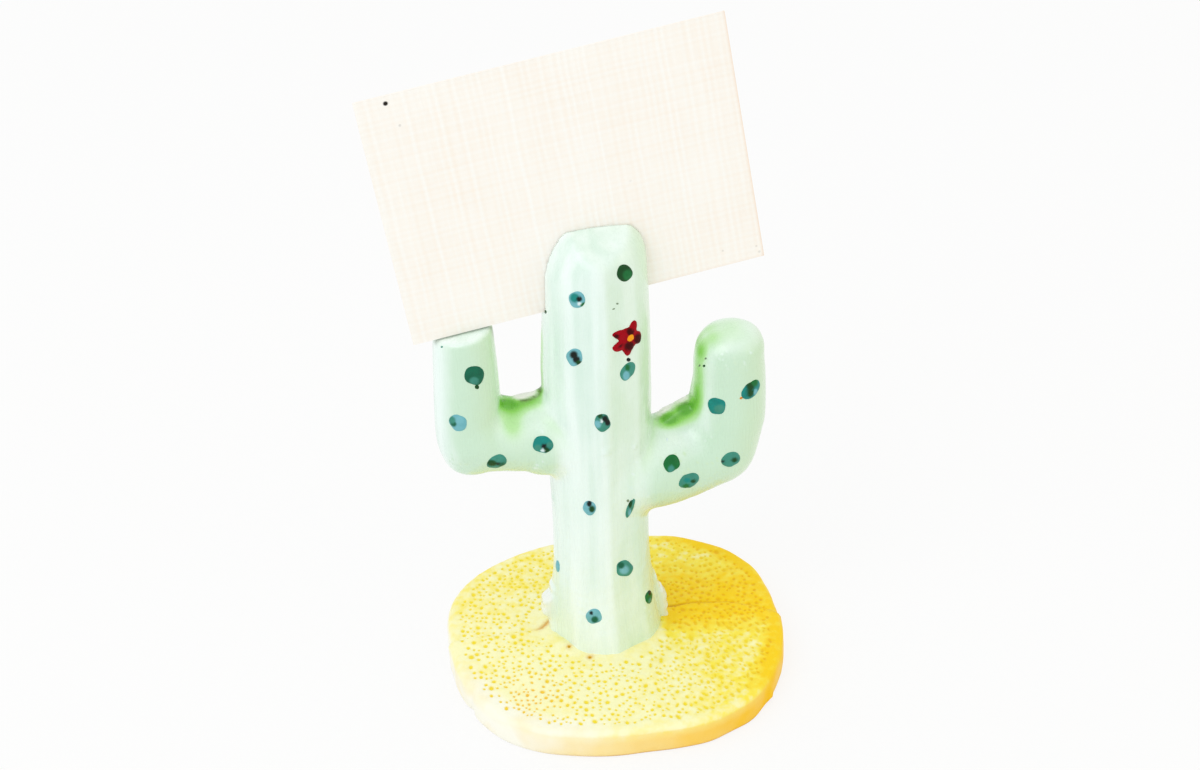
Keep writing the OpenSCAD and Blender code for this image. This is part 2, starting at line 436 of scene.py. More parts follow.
def dress(made: bpy.types.Object, material: bpy.types.Material) -> None:
    """Gives a piece its material.

    Args:
        made: The piece.
        material: Its material.
    """
    made.data.materials.clear()
    made.data.materials.append(material)


@dataclass(frozen=True)
class Enamel:
    """Glossy mint enamel over the casting, bare on the mould's lips, with green paint gathered in the
    hollows, and with painted shade and shadow: deeper green in recesses and on faces turned from the key
    lamp, and a dark line under the lips and the card.
    """

    light: str = "#f0fdf9"
    dull: str = "#d8efe3"
    # The next colour is painted shade, for faces that turn to the right, away from the key lamp.
    warm_shade: str = "#d0e8bc"
    # The next three colours are deeper greens, partly paint gathered in the crotches and partly painted
    # shade.
    pool_shade_thin: str = "#bdeaa8"
    pool_shade_mid: str = "#88d250"
    pool_shade_deep: str = "#50a800"
    # The next colour is painted shade, for the arms' faces that turn from the key lamp.
    arm: str = "#c8e6cc"
    bare: str = "#f6f4ee"
    # The next colour is a painted shadow, for the dark line under the mould's lips and under the card.
    gap_shadow: str = "#4d5a24"
    roughness: float = 0.28
    coat: float = 0.5
    coat_roughness: float = 0.12
    relief: float = 0.12

    def material(self) -> bpy.types.Material:
        """Makes the material.

        Returns:
            The material.
        """
        made, sheet, skin = new_material("mint_enamel")
        streaks = Effects.use(sheet, Effects.strokes(), Across=420.0, Along=26.0)
        blots = Effects.use(sheet, Effects.blotch(), Scale=110.0, Contrast=2.2)
        fine = Effects.use(sheet, Effects.strokes(), Across=2200.0, Along=160.0)
        dulled = sheet.span(streaks, 0.35, 0.65, 0.0, 1.0)
        tone = sheet.times(dulled, sheet.span(blots, 0.0, 1.0, 0.35, 1.0))
        paint = sheet.mix(tone, linear(self.light), linear(self.dull))
        # Painted shade on the arms' faces that turn from the key lamp.
        paint = sheet.mix(sheet.stored("shade"), paint, linear(self.arm))
        # Painted shade: the mint turns warmer and darker on faces that turn to the right, away from the key
        # lamp.
        warm_shaded = sheet.times(sheet.stored("warm_shade"), sheet.span(blots, 0.0, 1.0, 0.5, 0.8))
        paint = sheet.mix(warm_shaded, paint, linear(self.warm_shade))
        # Deeper green, partly paint gathered in the crotches and partly painted shade in recesses and on
        # faces turned from the key lamp.
        pool_and_shade = sheet.stored("pool_and_shade")
        uneven = sheet.times(pool_and_shade, sheet.span(blots, 0.0, 1.0, 0.8, 1.15))
        pooled_and_shaded = sheet.ramp(uneven, (0.0, self.light), (0.3, self.pool_shade_thin), (0.65, self.pool_shade_mid),
                            (1.0, self.pool_shade_deep))
        paint = sheet.mix(sheet.span(uneven, 0.02, 0.3, 0.0, 1.0), paint, pooled_and_shaded)
        paint = sheet.mix(sheet.stored("bare"), paint, linear(self.bare))
        # Painted shadow: a dark line under the mould's lips and under the card's lower edge.
        paint = sheet.mix(sheet.stored("gap_shadow"), paint, linear(self.gap_shadow))
        height = sheet.plus(sheet.times(fine, 0.35), streaks)
        sheet.feed(skin, {
            "Base Color": paint,
            "Roughness": sheet.span(fine, 0.3, 0.7, self.roughness - 0.06, self.roughness + 0.08),
            "Normal": sheet.bump(height, 0.26, self.relief * MM),
            "Coat Weight": self.coat,
            "Coat Roughness": self.coat_roughness,
        })
        return made


@dataclass(frozen=True)
class Dab:
    """Thick glossy paint put on in single touches, whose colour is kept on the mesh."""

    name: str = "dabbed_paint"
    roughness: float = 0.3
    specular: float = 0.16
    coat: float = 0.14
    coat_roughness: float = 0.08
    relief: float = 0.05
    depth: str = "#0c3f36"

    def material(self) -> bpy.types.Material:
        """Makes the material.

        Returns:
            The material.
        """
        made, sheet, skin = new_material(self.name)
        paint = sheet.stored("paint", "Color")
        blots = Effects.use(sheet, Effects.blotch(), Scale=900.0, Contrast=2.0)
        varied = sheet.mix(sheet.span(blots, 0.0, 1.0, 0.0, 0.35), paint, linear(self.depth), "SOFT_LIGHT")
        fine = Effects.use(sheet, Effects.grain(), Scale=2500.0)
        sheet.feed(skin, {
            "Base Color": varied,
            "Roughness": sheet.span(blots, 0.0, 1.0, self.roughness - 0.06, self.roughness + 0.06),
            "Normal": sheet.bump(fine, 0.25, self.relief * MM),
            "Specular IOR Level": self.specular,
            "Coat Weight": self.coat,
            "Coat Roughness": self.coat_roughness,
        })
        return made


@dataclass(frozen=True)
class Sand:
    """Satin sand-yellow paint, with painted shadow and shade: deeper yellow in the trunk's cast shadow and on
    the parts turned to the right, away from the key lamp; deeper yellow also in the pricked holes.
    """

    # The yellows run from the parts in light to the parts in painted shadow and shade.
    pale: str = "#fffbc6"
    middle: str = "#ffec54"
    deep: str = "#ffd608"
    side_pale: str = "#fffdf0"
    side_middle: str = "#ffe69e"
    side_deep: str = "#ffca08"
    pit: str = "#f8e030"
    pit_dark: str = "#f4c000"
    pit_orange: str = "#f8ac30"
    # The next colour is the parting line's, partly gathered paint and partly painted shade; the one after is
    # the brown of real stains.
    crease_and_shadow: str = "#dc960c"
    stain: str = "#8c5410"
    roughness: float = 0.5
    specular: float = 0.22
    relief: float = 0.12

    def material(self) -> bpy.types.Material:
        """Makes the material.

        Returns:
            The material.
        """
        made, sheet, skin = new_material("sand_paint")
        blots = Effects.use(sheet, Effects.blotch(), Scale=190.0, Contrast=2.4)
        mottle = Effects.use(sheet, Effects.blotch(), Scale=700.0, Contrast=3.0)
        # Painted shadow and shade: the depth mask deepens the yellow in the trunk's cast shadow and on parts
        # turned away from the key lamp; the wall's colours follow it too.
        depth = sheet.stored("depth")
        shadow_tone = sheet.plus(depth, sheet.span(blots, 0.0, 1.0, -0.1, 0.1))
        strength = sheet.span(depth, 0.0, 0.4, 0.35, 1.0)
        flecks = sheet.times(sheet.span(mottle, 0.0, 1.0, -0.22, 0.24), strength)
        uneven = sheet.plus(shadow_tone, flecks)
        top = sheet.ramp(uneven, (0.0, self.pale), (0.45, self.middle), (1.0, self.deep))
        side = sheet.ramp(shadow_tone, (0.0, self.side_pale), (0.4, self.side_middle), (1.0, self.side_deep))
        paint = sheet.mix(sheet.stored("side"), top, side)
        # The holes deepen with the same painted shadow.
        hole = sheet.mix(sheet.span(depth, 0.2, 0.9, 0.0, 1.0), linear(self.pit), linear(self.pit_dark))
        hole = sheet.mix(sheet.stored("orange"), hole, linear(self.pit_orange))
        paint = sheet.mix(sheet.stored("pit"), paint, hole)
        # The parting line, partly gathered paint and partly painted shade, with brown stains and a painted
        # contact shadow at the foot of the wall.
        crease_and_shadow = sheet.stored("crease_and_shadow")
        line = sheet.mix(sheet.span(crease_and_shadow, 0.7, 1.0, 0.0, 1.0), linear(self.crease_and_shadow), linear(self.stain))
        paint = sheet.mix(crease_and_shadow, paint, line)
        grain = Effects.use(sheet, Effects.grain(), Scale=2600.0)
        sheet.feed(skin, {
            "Base Color": paint,
            "Roughness": sheet.span(blots, 0.0, 1.0, self.roughness - 0.08, self.roughness + 0.1),
            "Normal": sheet.bump(grain, 0.45, self.relief * MM),
            "Specular IOR Level": self.specular,
        })
        return made


@dataclass(frozen=True)
class Linen:
    """Ivory card stock, embossed with a linen weave, with shade painted warmer in the weave's hollows, and
    marked by a few tiny specks.
    """

    light: str = "#fffefb"
    # The next colour is painted shade, for the hollows of the emboss.
    warm_shade: str = "#fbf2e7"
    edge: str = "#f3dcc6"
    speck: str = "#1c130c"
    roughness: float = 0.75
    specular: float = 0.3
    relief: float = 0.03
    thread_pitch: float = 0.42

    def material(self, slant: float, specks: tuple[tuple[Triple, float, float], ...]) -> bpy.types.Material:
        """Makes the material.

        Args:
            slant: How far the card is turned in its own plane, in radians.
            specks: The marks on it, each a place, a radius and a strength.

        Returns:
            The material.
        """
        made, sheet, skin = new_material("linen_card")
        level = sheet.add("VectorRotate", {"Vector": sheet.place(), "Angle": slant}, rotation_type="Y_AXIS")
        waves = {"Vector": level.outputs[0], "Scale": 0.157 / (self.thread_pitch * MM),
                 "Distortion": 1.4, "Detail": 2.0, "Detail Scale": 0.6}
        threads = [sheet.add("TexWave", waves, bands_direction=axis).outputs["Fac"] for axis in ("X", "Z")]
        weave = sheet.times(sheet.plus(*threads), 0.5)
        # Painted shade: the stock turns warmer and darker in the hollows of the emboss.
        coarse = sheet.stored("thread")
        blots = Effects.use(sheet, Effects.blotch(), Scale=120.0, Contrast=2.0)
        hollow = sheet.plus(sheet.times(coarse, 0.72), sheet.times(weave, 0.34))
        tone = sheet.times(hollow, sheet.span(blots, 0.0, 1.0, 0.55, 1.0))
        stock = sheet.mix(tone, linear(self.light), linear(self.warm_shade))
        stock = sheet.mix(sheet.stored("edge"), stock, linear(self.edge))
        for place, radius, strength in specks:
            away = sheet.add("VectorMath", {0: sheet.place(), 1: tuple(v * MM for v in place)},
                             operation="DISTANCE").outputs["Value"]
            near = sheet.span(away, radius * 0.7 * MM, radius * 1.2 * MM, strength, 0.0)
            stock = sheet.mix(near, stock, linear(self.speck))
        grain = Effects.use(sheet, Effects.grain(), Scale=4000.0)
        height = sheet.plus(weave, sheet.times(grain, 0.3))
        sheet.feed(skin, {
            "Base Color": stock,
            "Roughness": self.roughness,
            "Normal": sheet.bump(height, 0.35, self.relief * MM),
            "Specular IOR Level": self.specular,
        })
        return made


@dataclass(frozen=True)
class Datum:
    """Places that the frame gives.

    Attributes:
        trunk_x: The trunk's axis, left to right.
        slot_y: The card's plane, front to back.
        slot_z: Floor of the slot on the trunk's axis.
        top: Height of the trunk's top.
        half_w: Half the base's width.
        half_d: Half the base's depth.
        slot_set: How far the slot lies in front of the parting plane.
    """

    trunk_x: float
    slot_y: float
    slot_z: float
    top: float
    half_w: float
    half_d: float
    slot_set: float = 1.0

    @classmethod
    def from_frame(cls) -> "Datum":
        """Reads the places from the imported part.

        Returns:
            The places.
        """
        mounts = {mount["name"]: mount for mount in frame["record"]["mounts"]}
        x, y, z = (value / MM for value in mounts["card_slot"]["pos_m"])
        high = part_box(FIGURE_NODE)[1] / MM
        return cls(x, y, z, high.z, high.x, high.y)

    @property
    def part_y(self) -> float:
        """Where the mould's parting plane lies, front to back."""
        return self.slot_y + self.slot_set


@dataclass(frozen=True)
class Limb:
    """A round limb, whose spine lies in the parting plane.

    Attributes:
        rows: Places along the spine, each x, z and radius.
        plane_y: The parting plane, front to back.
        steps: Stretches of the spine between two rows.
    """

    rows: tuple[Triple, ...]
    plane_y: float
    steps: int = 7

    def distance(self, x: np.ndarray, y: np.ndarray, z: np.ndarray) -> np.ndarray:
        """Measures the way to the limb's skin.

        Args:
            x: Places, left to right.
            y: Places, front to back.
            z: Heights.

        Returns:
            The signed distances.
        """
        spine = spline(self.rows, self.steps)
        shape = np.broadcast(x, z).shape
        reach, away, radius = np.full(shape, np.inf), np.zeros(shape), np.zeros(shape)
        for (ax, az, ar), (bx, bz, br) in zip(spine, spine[1:]):
            dx, dz = bx - ax, bz - az
            t = np.clip(((x - ax) * dx + (z - az) * dz) / (dx * dx + dz * dz), 0, 1)
            span = np.hypot(x - ax - t * dx, z - az - t * dz)
            r = ar + t * (br - ar)
            nearer = span - r < reach
            reach = np.where(nearer, span - r, reach)
            away = np.where(nearer, span, away)
            radius = np.where(nearer, r, radius)
        return np.hypot(away, y - self.plane_y) - radius

    def on_skin(self, share: float, turn: float) -> np.ndarray:
        """Finds a place on the skin.

        Args:
            share: Share of the limb's rows, from 0 to 1.
            turn: Direction round the spine in degrees, where 270 is the front.

        Returns:
            The place.
        """
        spine = spline(self.rows, self.steps)
        at = share * (len(spine) - 1)
        i = min(int(at), len(spine) - 2)
        x, z, r = spine[i] + (at - i) * (spine[i + 1] - spine[i])
        hx, hz = (spine[i + 1] - spine[i])[:2] / np.linalg.norm((spine[i + 1] - spine[i])[:2])
        a = math.radians(turn)
        return np.array([x + hz * r * math.cos(a), self.plane_y + r * math.sin(a), z - hx * r * math.cos(a)])


@dataclass(frozen=True)
class PoolAndShade:
    """A soft patch of deeper green, partly paint gathered in the crotches and partly painted shade on flanks
    and tops turned from the key lamp, mirrored front to back in the parting plane.

    Attributes:
        place: Its middle.
        spread: How far it reaches each way.
        strength: Its strength in the middle.
    """

    place: Triple
    spread: Triple
    strength: float


@dataclass
class Casting:
    """The trunk and both arms, cast in one piece and painted mint.

    Attributes:
        datum: Places from the frame.
        base_t: Thickness of the base, in which the trunk's foot is sunk.
        foot_r, waist_r, chest_r, crown_r: Radii of the trunk, from its foot to its top.
        waist_z, chest_z: Heights of the waist and the chest.
        crown_rise: Height of the domed top above the shoulder.
        crown_lean: How far the top leans to the right.
        left_reach, left_level_z, left_level_r, left_tip_r: The left arm.
        right_reach, right_root_z, right_root_r, right_tip_r, right_drop: The right arm.
        left_web_r, right_web_r: Thickness of the paint that fills the crotches, as a radius.
        slot_slant: Slant of the slot's floor and of the left arm's tip, in degrees.
        slot_w: Width of the slot.
        slot_front: How far the slot's front wall is from the card's plane.
        facets: Flats on the trunk, each a direction in degrees and a depth.
        toes: Swells and hollows of the foot, each a direction in degrees and a height.
        flash_right: The resin's edge at the foot's right side, each a height above the sand and a radius.
        flash_left: The same at its left side.
        pools_and_shades: Patches of deeper green, partly gathered paint and partly painted shade.
        pimples: Small lumps, each a place and a radius.
        pimple_rise: Their height.
        swell, tremor: Heights of the skin's wide and of its narrow waves.
        sunk: How deep the casting's mesh goes into the base.
        pitch: Distance between the points of the mesh.
    """

    datum: Datum
    base_t: float = 4.5
    foot_r: float = 8.5
    waist_r: float = 7.1
    chest_r: float = 7.9
    crown_r: float = 6.9
    waist_z: float = 23.0
    chest_z: float = 48.0
    crown_rise: float = 4.2
    crown_lean: float = 0.9
    left_reach: float = 18.7
    left_level_z: float = 39.4
    left_level_r: float = 5.3
    left_tip_r: float = 4.3
    right_reach: float = 19.5
    right_root_z: float = 31.6
    right_root_r: float = 6.4
    right_tip_r: float = 4.9
    right_drop: float = 8.7
    left_web_r: float = 2.9
    right_web_r: float = 2.2
    slot_slant: float = 8.5
    slot_w: float = 1.0
    slot_front: float = 0.26
    pimple_rise: float = 0.24
    swell: float = 0.07
    tremor: float = 0.025
    sunk: float = 1.1
    pitch: float = 0.36
    facets: tuple[Pair, ...] = ((291, 0.42), (250, 0.1), (214, 0.16), (160, 0.2), (112, 0.16), (66, 0.22),
                                (20, 0.14))
    toes: tuple[Pair, ...] = ((266, 0.5), (202, -0.9))
    flash_right: tuple[Pair, ...] = ((0.0, 9.75), (3.8, 9.6), (5.0, 8.8), (7.0, 8.0), (9.5, 7.2))
    flash_left: tuple[Pair, ...] = ((0.0, 8.4), (1.9, 8.4), (3.1, 9.4), (5.5, 9.15), (6.9, 8.0), (9.5, 7.2))
    pools_and_shades: tuple[PoolAndShade, ...] = (
        PoolAndShade((-15.0, 1.2, 45.9), (1.6, 1.0, 0.8), 0.9),
        PoolAndShade((-14.0, 0.6, 45.3), (2.0, 1.5, 1.2), 0.62),
        PoolAndShade((-11.4, 1.2, 45.6), (1.8, 1.1, 0.9), 0.5),
        PoolAndShade((-9.3, 2.0, 47.6), (0.8, 0.8, 3.0), 0.85),
        PoolAndShade((-14.4, -1.4, 43.3), (1.9, 2.4, 2.6), 0.33),
        PoolAndShade((-15.9, 1.2, 50.0), (0.9, 1.8, 4.5), 0.36),
        PoolAndShade((-9.3, 2.0, 53.5), (0.7, 0.9, 4.0), 0.5),
        PoolAndShade((9.0, 1.0, 39.6), (1.4, 1.1, 0.9), 1.25),
        PoolAndShade((11.3, 1.0, 41.1), (1.3, 1.1, 1.1), 1.35),
        PoolAndShade((10.4, 0.2, 39.8), (2.3, 1.3, 1.2), 0.36),
        PoolAndShade((13.0, 0.5, 42.6), (1.2, 1.5, 2.2), 0.55),
        PoolAndShade((12.8, 0.5, 46.4), (0.85, 1.6, 4.2), 0.52),
        PoolAndShade((13.6, -0.8, 47.5), (1.4, 1.8, 4.4), 0.14),
        PoolAndShade((13.5, 0.9, 50.9), (0.9, 1.7, 1.4), 0.58),
        PoolAndShade((15.2, 0.6, 52.5), (1.5, 2.4, 1.5), 0.14),
        PoolAndShade((18.2, 1.5, 53.2), (4.6, 4.6, 2.0), 0.24),
        PoolAndShade((5.6, -2.2, 67.0), (1.9, 3.6, 5.0), 0.24),
        PoolAndShade((6.0, 1.5, 56.0), (0.7, 1.6, 12.0), 0.3),
    )
    pimples: tuple[tuple[Triple, float], ...] = (((-1.67, -5.48, 39.56), 0.55), ((-8.55, 1.14, 28.53), 0.5),
                                                 ((2.9, -4.2, 38.9), 0.35))

    def __post_init__(self) -> None:
        """Lays out the limbs from the sizes."""
        d, y = self.datum, self.datum.part_y
        shoulder = d.top - self.crown_rise
        lean = d.trunk_x + self.crown_lean / 2
        self.left_x = d.trunk_x - self.left_reach
        self.left_tip_z = d.slot_z - self.left_reach * math.tan(math.radians(self.slot_slant))
        self.right_x = d.trunk_x + self.right_reach
        self.right_tip_z = d.slot_z - self.right_drop
        left_rise = self.left_tip_z - self.left_level_z
        rise = self.right_tip_z - self.right_root_z
        self.trunk = Limb((
            (d.trunk_x, self.base_t - 1.5, self.foot_r + 0.3),
            (d.trunk_x, self.base_t + 1, self.foot_r),
            (d.trunk_x, (self.base_t + self.waist_z) / 2, (self.foot_r + 3 * self.waist_r) / 4),
            (d.trunk_x, self.waist_z, self.waist_r),
            (d.trunk_x, (self.waist_z + self.chest_z) / 2, (self.waist_r + self.chest_r) / 2),
            (d.trunk_x, self.chest_z, self.chest_r),
            (lean - 0.2, (self.chest_z + shoulder) / 2, 0.53 * self.chest_r + 0.47 * self.crown_r + 0.2),
            (lean - 0.28, shoulder, self.crown_r + 0.38),
            (lean - 0.28, shoulder + 1.5 * self.crown_rise, self.crown_r)), y)
        self.left_level = Limb((
            (d.trunk_x, self.left_level_z - 1, self.left_level_r - 0.3),
            (d.trunk_x - self.waist_r, self.left_level_z - 0.7, self.left_level_r + 0.4),
            (d.trunk_x - self.waist_r - 3, self.left_level_z - 0.2, self.left_level_r),
            (self.left_x + 2, self.left_level_z + 0.8, self.left_level_r - 0.1)), y)
        self.left_upright = Limb((
            (self.left_x - 0.3, self.left_level_z - 0.9, self.left_level_r - 1.35),
            (self.left_x, self.left_level_z + 1.8, self.left_level_r - 0.5),
            (self.left_x, self.left_level_z + left_rise / 2, self.left_tip_r + 0.4),
            (self.left_x, self.left_tip_z - 1.2, self.left_tip_r),
            (self.left_x, self.left_tip_z + 5, self.left_tip_r - 0.6)), y)
        self.right_level = Limb((
            (d.trunk_x, self.right_root_z - 0.6, self.right_root_r - 0.6),
            (d.trunk_x + self.waist_r, self.right_root_z + 0.2, self.right_root_r + 0.4),
            (d.trunk_x + 0.64 * self.right_reach, self.right_root_z + 0.6, self.right_root_r - 0.15),
            (self.right_x - 2.4, self.right_root_z + 1.4, self.right_root_r - 0.85)), y)
        self.right_upright = Limb((
            (self.right_x - 1.3, self.right_root_z + 3.0, self.right_root_r - 1.1),
            (self.right_x - 0.45, self.right_root_z + 6.9, self.right_root_r - 0.75),
            (self.right_x + 0.05, self.right_root_z + 0.62 * rise, self.right_tip_r + 0.4),
            (self.right_x + 0.05, self.right_tip_z - 4.0, self.right_tip_r + 0.25),
            (self.right_x + 0.3, self.right_tip_z - 1.2, self.right_tip_r - 0.1),
            (self.right_x + 0.35, self.right_tip_z + 5, self.right_tip_r - 0.9)), y)
        self.left_web = Limb((
            (d.trunk_x - self.waist_r - 0.5, self.left_level_z + 3.7, self.left_web_r),
            (d.trunk_x - 11.0, self.left_level_z + 3.2, self.left_web_r),
            (self.left_x + self.left_tip_r, self.left_level_z + 3.9, self.left_web_r)), y)
        self.right_web = Limb((
            (d.trunk_x + self.chest_r, self.right_root_z + 5.1, self.right_web_r),
            (d.trunk_x + 10.4, self.right_root_z + 6.3, self.right_web_r),
            (d.trunk_x + 12.7, self.right_root_z + 7.6, self.right_web_r),
            (self.right_x - self.right_tip_r + 0.6, self.right_root_z + 8.6, self.right_web_r - 0.4)), y, 4)

    def _trunk(self, x: np.ndarray, y: np.ndarray, z: np.ndarray) -> np.ndarray:
        """Measures the way to the trunk, with its worked flats and its sloping top.

        Args:
            x: Places, left to right.
            y: Places, front to back.
            z: Heights.

        Returns:
            The signed distances.
        """
        spine = spline(self.trunk.rows, self.trunk.steps)
        middle = np.interp(z, spine[:, 1], spine[:, 0])
        radius = np.interp(z, spine[:, 1], spine[:, 2])
        skin = self.trunk.distance(x, y, z)
        for turn, depth in self.facets:
            a = math.radians(turn)
            flat = (x - middle) * math.cos(a) + (y - self.trunk.plane_y) * math.sin(a) - radius + depth
            skin = smooth_max(skin, flat, 0.12)
        turn = np.degrees(np.arctan2(y - self.trunk.plane_y, x - middle))
        low = bell(z, self.base_t, 4.5)
        for toward, swell in self.toes:
            skin = skin - swell * low * bell(turned(turn, toward), 0, 30)
        side, deep = x - self.datum.trunk_x - 0.6, y - self.datum.slot_y
        fall = np.where(deep < 0, 0.66, 0.42)
        slope = np.sqrt(0.3 + (fall * deep) ** 2 + (0.12 * side) ** 2) - math.sqrt(0.3)
        lid = (z - self.datum.top - 0.1 + slope) / math.sqrt(1.2)
        off_middle = np.hypot(side, 0.45 * np.maximum(deep, 0))
        soft = 0.9 + (3.4 + 2.8 * ramp(0.5, -6.0, side)) * ramp(1.0, 7.5, off_middle)
        return smooth_max(skin, lid, soft)

    def _left(self, x: np.ndarray, y: np.ndarray, z: np.ndarray) -> np.ndarray:
        """Measures the way to the left arm, whose tip is cut in line with the slot's floor.

        Args:
            x: Places, left to right.
            y: Places, front to back.
            z: Heights.

        Returns:
            The signed distances.
        """
        a = math.radians(self.slot_slant)
        lid = (z - self.datum.slot_z) * math.cos(a) - (x - self.datum.trunk_x) * math.sin(a)
        upright = smooth_max(self.left_upright.distance(x, y, z), lid, 0.9)
        return smooth_min(self.left_level.distance(x, y, z), upright, 1.3)

    def _right(self, x: np.ndarray, y: np.ndarray, z: np.ndarray) -> np.ndarray:
        """Measures the way to the right arm, whose tip is a little crowned.

        Args:
            x: Places, left to right.
            y: Places, front to back.
            z: Heights.

        Returns:
            The signed distances.
        """
        away = (x - self.right_x - 0.4) ** 2 + (y - self.datum.part_y - 0.3) ** 2
        lid = z - self.right_tip_z - 0.95 + 0.055 * away
        upright = smooth_max(self.right_upright.distance(x, y, z), lid, 1.9)
        return smooth_min(self.right_level.distance(x, y, z), upright, 2.4)

    def limbs(self, x: np.ndarray, y: np.ndarray, z: np.ndarray) -> np.ndarray:
        """Measures the way to the three limbs, joined by fillets.

        Args:
            x: Places, left to right.
            y: Places, front to back.
            z: Heights.

        Returns:
            The signed distances.
        """
        left = smooth_min(self._left(x, y, z), self.left_web.distance(x, y, z), 0.7)
        right = smooth_min(self._right(x, y, z), self.right_web.distance(x, y, z), 0.9)
        arms = smooth_min(left, right, 0.5)
        return smooth_min(self._trunk(x, y, z), arms, 1.5)

    def lips(self, x: np.ndarray, y: np.ndarray, z: np.ndarray) -> np.ndarray:
        """Measures the way to the resin that leaked between the halves of the mould.

        Args:
            x: Places, left to right.
            y: Places, front to back.
            z: Heights.

        Returns:
            The signed distances.
        """
        d = self.datum
        ragged = 0.16 * ripple(x, 0 * y, z, 1.8, 21)
        off = np.abs(y - d.part_y - 0.1 * ripple(x, 0 * y, z, 5.0, 22))
        left_end, left_root = self.left_x + self.left_tip_r, d.trunk_x - self.chest_r
        k = np.clip((left_root - x) / (left_root - left_end), 0, 1)
        crest = self.left_level_z + self.left_level_r + 0.9 + 1.0 * (1 - k) ** 0.8
        left = np.maximum(np.maximum(z - crest - ragged, left_end - 0.8 - x), x - left_root - 1.0)
        left = np.maximum(left, self.left_level_z - z)
        right_root, right_end = d.trunk_x + self.chest_r, self.right_x - self.right_tip_r
        k = np.clip((x - right_root) / (right_end - right_root), 0, 1)
        crest = self.right_root_z + self.right_root_r + 1.8 + 3.1 * k
        right = np.maximum(np.maximum(z - crest - ragged, right_root - 1.0 - x), x - right_end + 0.9)
        right = np.maximum(right, self.right_root_z + 3.0 - z)
        crotches = smooth_max(smooth_min(left, right, 0.1), off - 0.5, 0.3)
        side = x - d.trunk_x
        edge = np.where(side > 0, np.interp(z - self.base_t, *np.transpose(self.flash_right)),
                        np.interp(z - self.base_t, *np.transpose(self.flash_left))) + 1.3 * ragged
        foot = smooth_max(np.maximum(np.abs(side) - edge, z - self.base_t - 9.0), off - 1.5, 0.9)
        return np.maximum(smooth_min(crotches, foot, 0.1), self.base_t - 1.2 - z)

    def skin(self, x: np.ndarray, y: np.ndarray, z: np.ndarray) -> np.ndarray:
        """Measures the way to the painted casting, with its slot.

        Args:
            x: Places, left to right.
            y: Places, front to back.
            z: Heights.

        Returns:
            The signed distances.
        """
        d = self.datum
        solid = self.limbs(x, y, z)
        solid = solid - self.swell * ripple(x, y, z, 7.0, 3) - self.tremor * ripple(x, y, z, 2.4, 4)
        for (px, py, pz), size in self.pimples:
            away = ((x - px) ** 2 + (y - py) ** 2 + (z - pz) ** 2) / size**2
            solid = solid - self.pimple_rise * np.exp(-away)
        solid = smooth_min(solid, self.lips(x, y, z), 0.35)
        a = math.radians(self.slot_slant)
        floor = (z - d.slot_z) * math.cos(a) - (x - d.trunk_x) * math.sin(a)
        across = np.maximum(d.slot_y - self.slot_front - y, y - d.slot_y - self.slot_w / 2)
        solid = smooth_max(solid, -np.maximum(across, -floor), 0.25)
        return np.maximum(solid, self.base_t - self.sunk - z)

    def settle(self, points: np.ndarray, rounds: int) -> tuple[np.ndarray, np.ndarray]:
        """Moves points onto the skin.

        Args:
            points: The points.
            rounds: How often each is moved.

        Returns:
            The points on the skin, and the skin's normals there.
        """
        step = 0.02
        for done in range(rounds + 1):
            value = self.skin(*points.T)
            slope = np.stack([
                self.skin(*(points + offset).T) - self.skin(*(points - offset).T)
                for offset in step * np.eye(3)], axis=1) / (2 * step)
            steep = np.maximum((slope**2).sum(1), 0.25)
            normals = slope / np.sqrt(steep)[:, None]
            if done < rounds:
                shift = np.clip(value / steep, -self.pitch, self.pitch)
                points = points - shift[:, None] * slope
        return points, normals

    def build(self) -> bpy.types.Object:
        """Makes the painted casting, with the masks that its enamel reads.

        Returns:
            The object.
        """
        d, margin = self.datum, 1.2
        half = self.foot_r + 0.8 + margin
        low = np.array([self.left_x - self.left_level_r - margin, d.part_y - half,
                        self.base_t - self.sunk - margin])
        high = np.array([self.right_x + self.right_root_r + margin, d.part_y + half, d.top + margin])
        x, y, z = (np.arange(a, b, self.pitch) for a, b in zip(low, high))
        value = self.skin(x[:, None, None], y[None, :, None], z[None, None, :])
        points, quads = surface_net(value, low, self.pitch)
        points, normals = self.settle(points, 3)
        made = mesh_object("painted_casting", points, quads.tolist())
        px, py, pz = points.T
        # Deeper green, partly gathered paint and partly painted shade.
        mask(made, "pool_and_shade", self._pool_and_shade(px, py, pz, normals))
        high = ramp(self.base_t + 4.0, self.base_t + 9.0, pz)
        bare = ramp(0.2, 0.55, self.limbs(px, py, pz)) * high
        foot = 0.5 * ramp(0.3, 0.9, self.limbs(px, py, pz)) * (1 - high)
        mask(made, "bare", bare + foot)
        # Painted shade: this mask makes the mint warmer and darker on faces that turn to the right, away from
        # the key lamp.
        mask(made, "warm_shade", ramp(-0.3, 0.95, normals[:, 0]))
        # Painted shade: the arms turn duller on faces that turn neither up nor to the left towards the key
        # lamp, the share that lit holds.
        lit = ramp(0.95, 0.3, normals[:, 2]) * ramp(-0.95, -0.4, normals[:, 0])
        mask(made, "shade", 0.9 * ramp(0.3, 2.5, self._trunk(px, py, pz)) * lit)
        # Painted shadow: dark lines under the lips and under the card.
        mask(made, "gap_shadow", self._gap_shadow(px, py, pz))
        return made

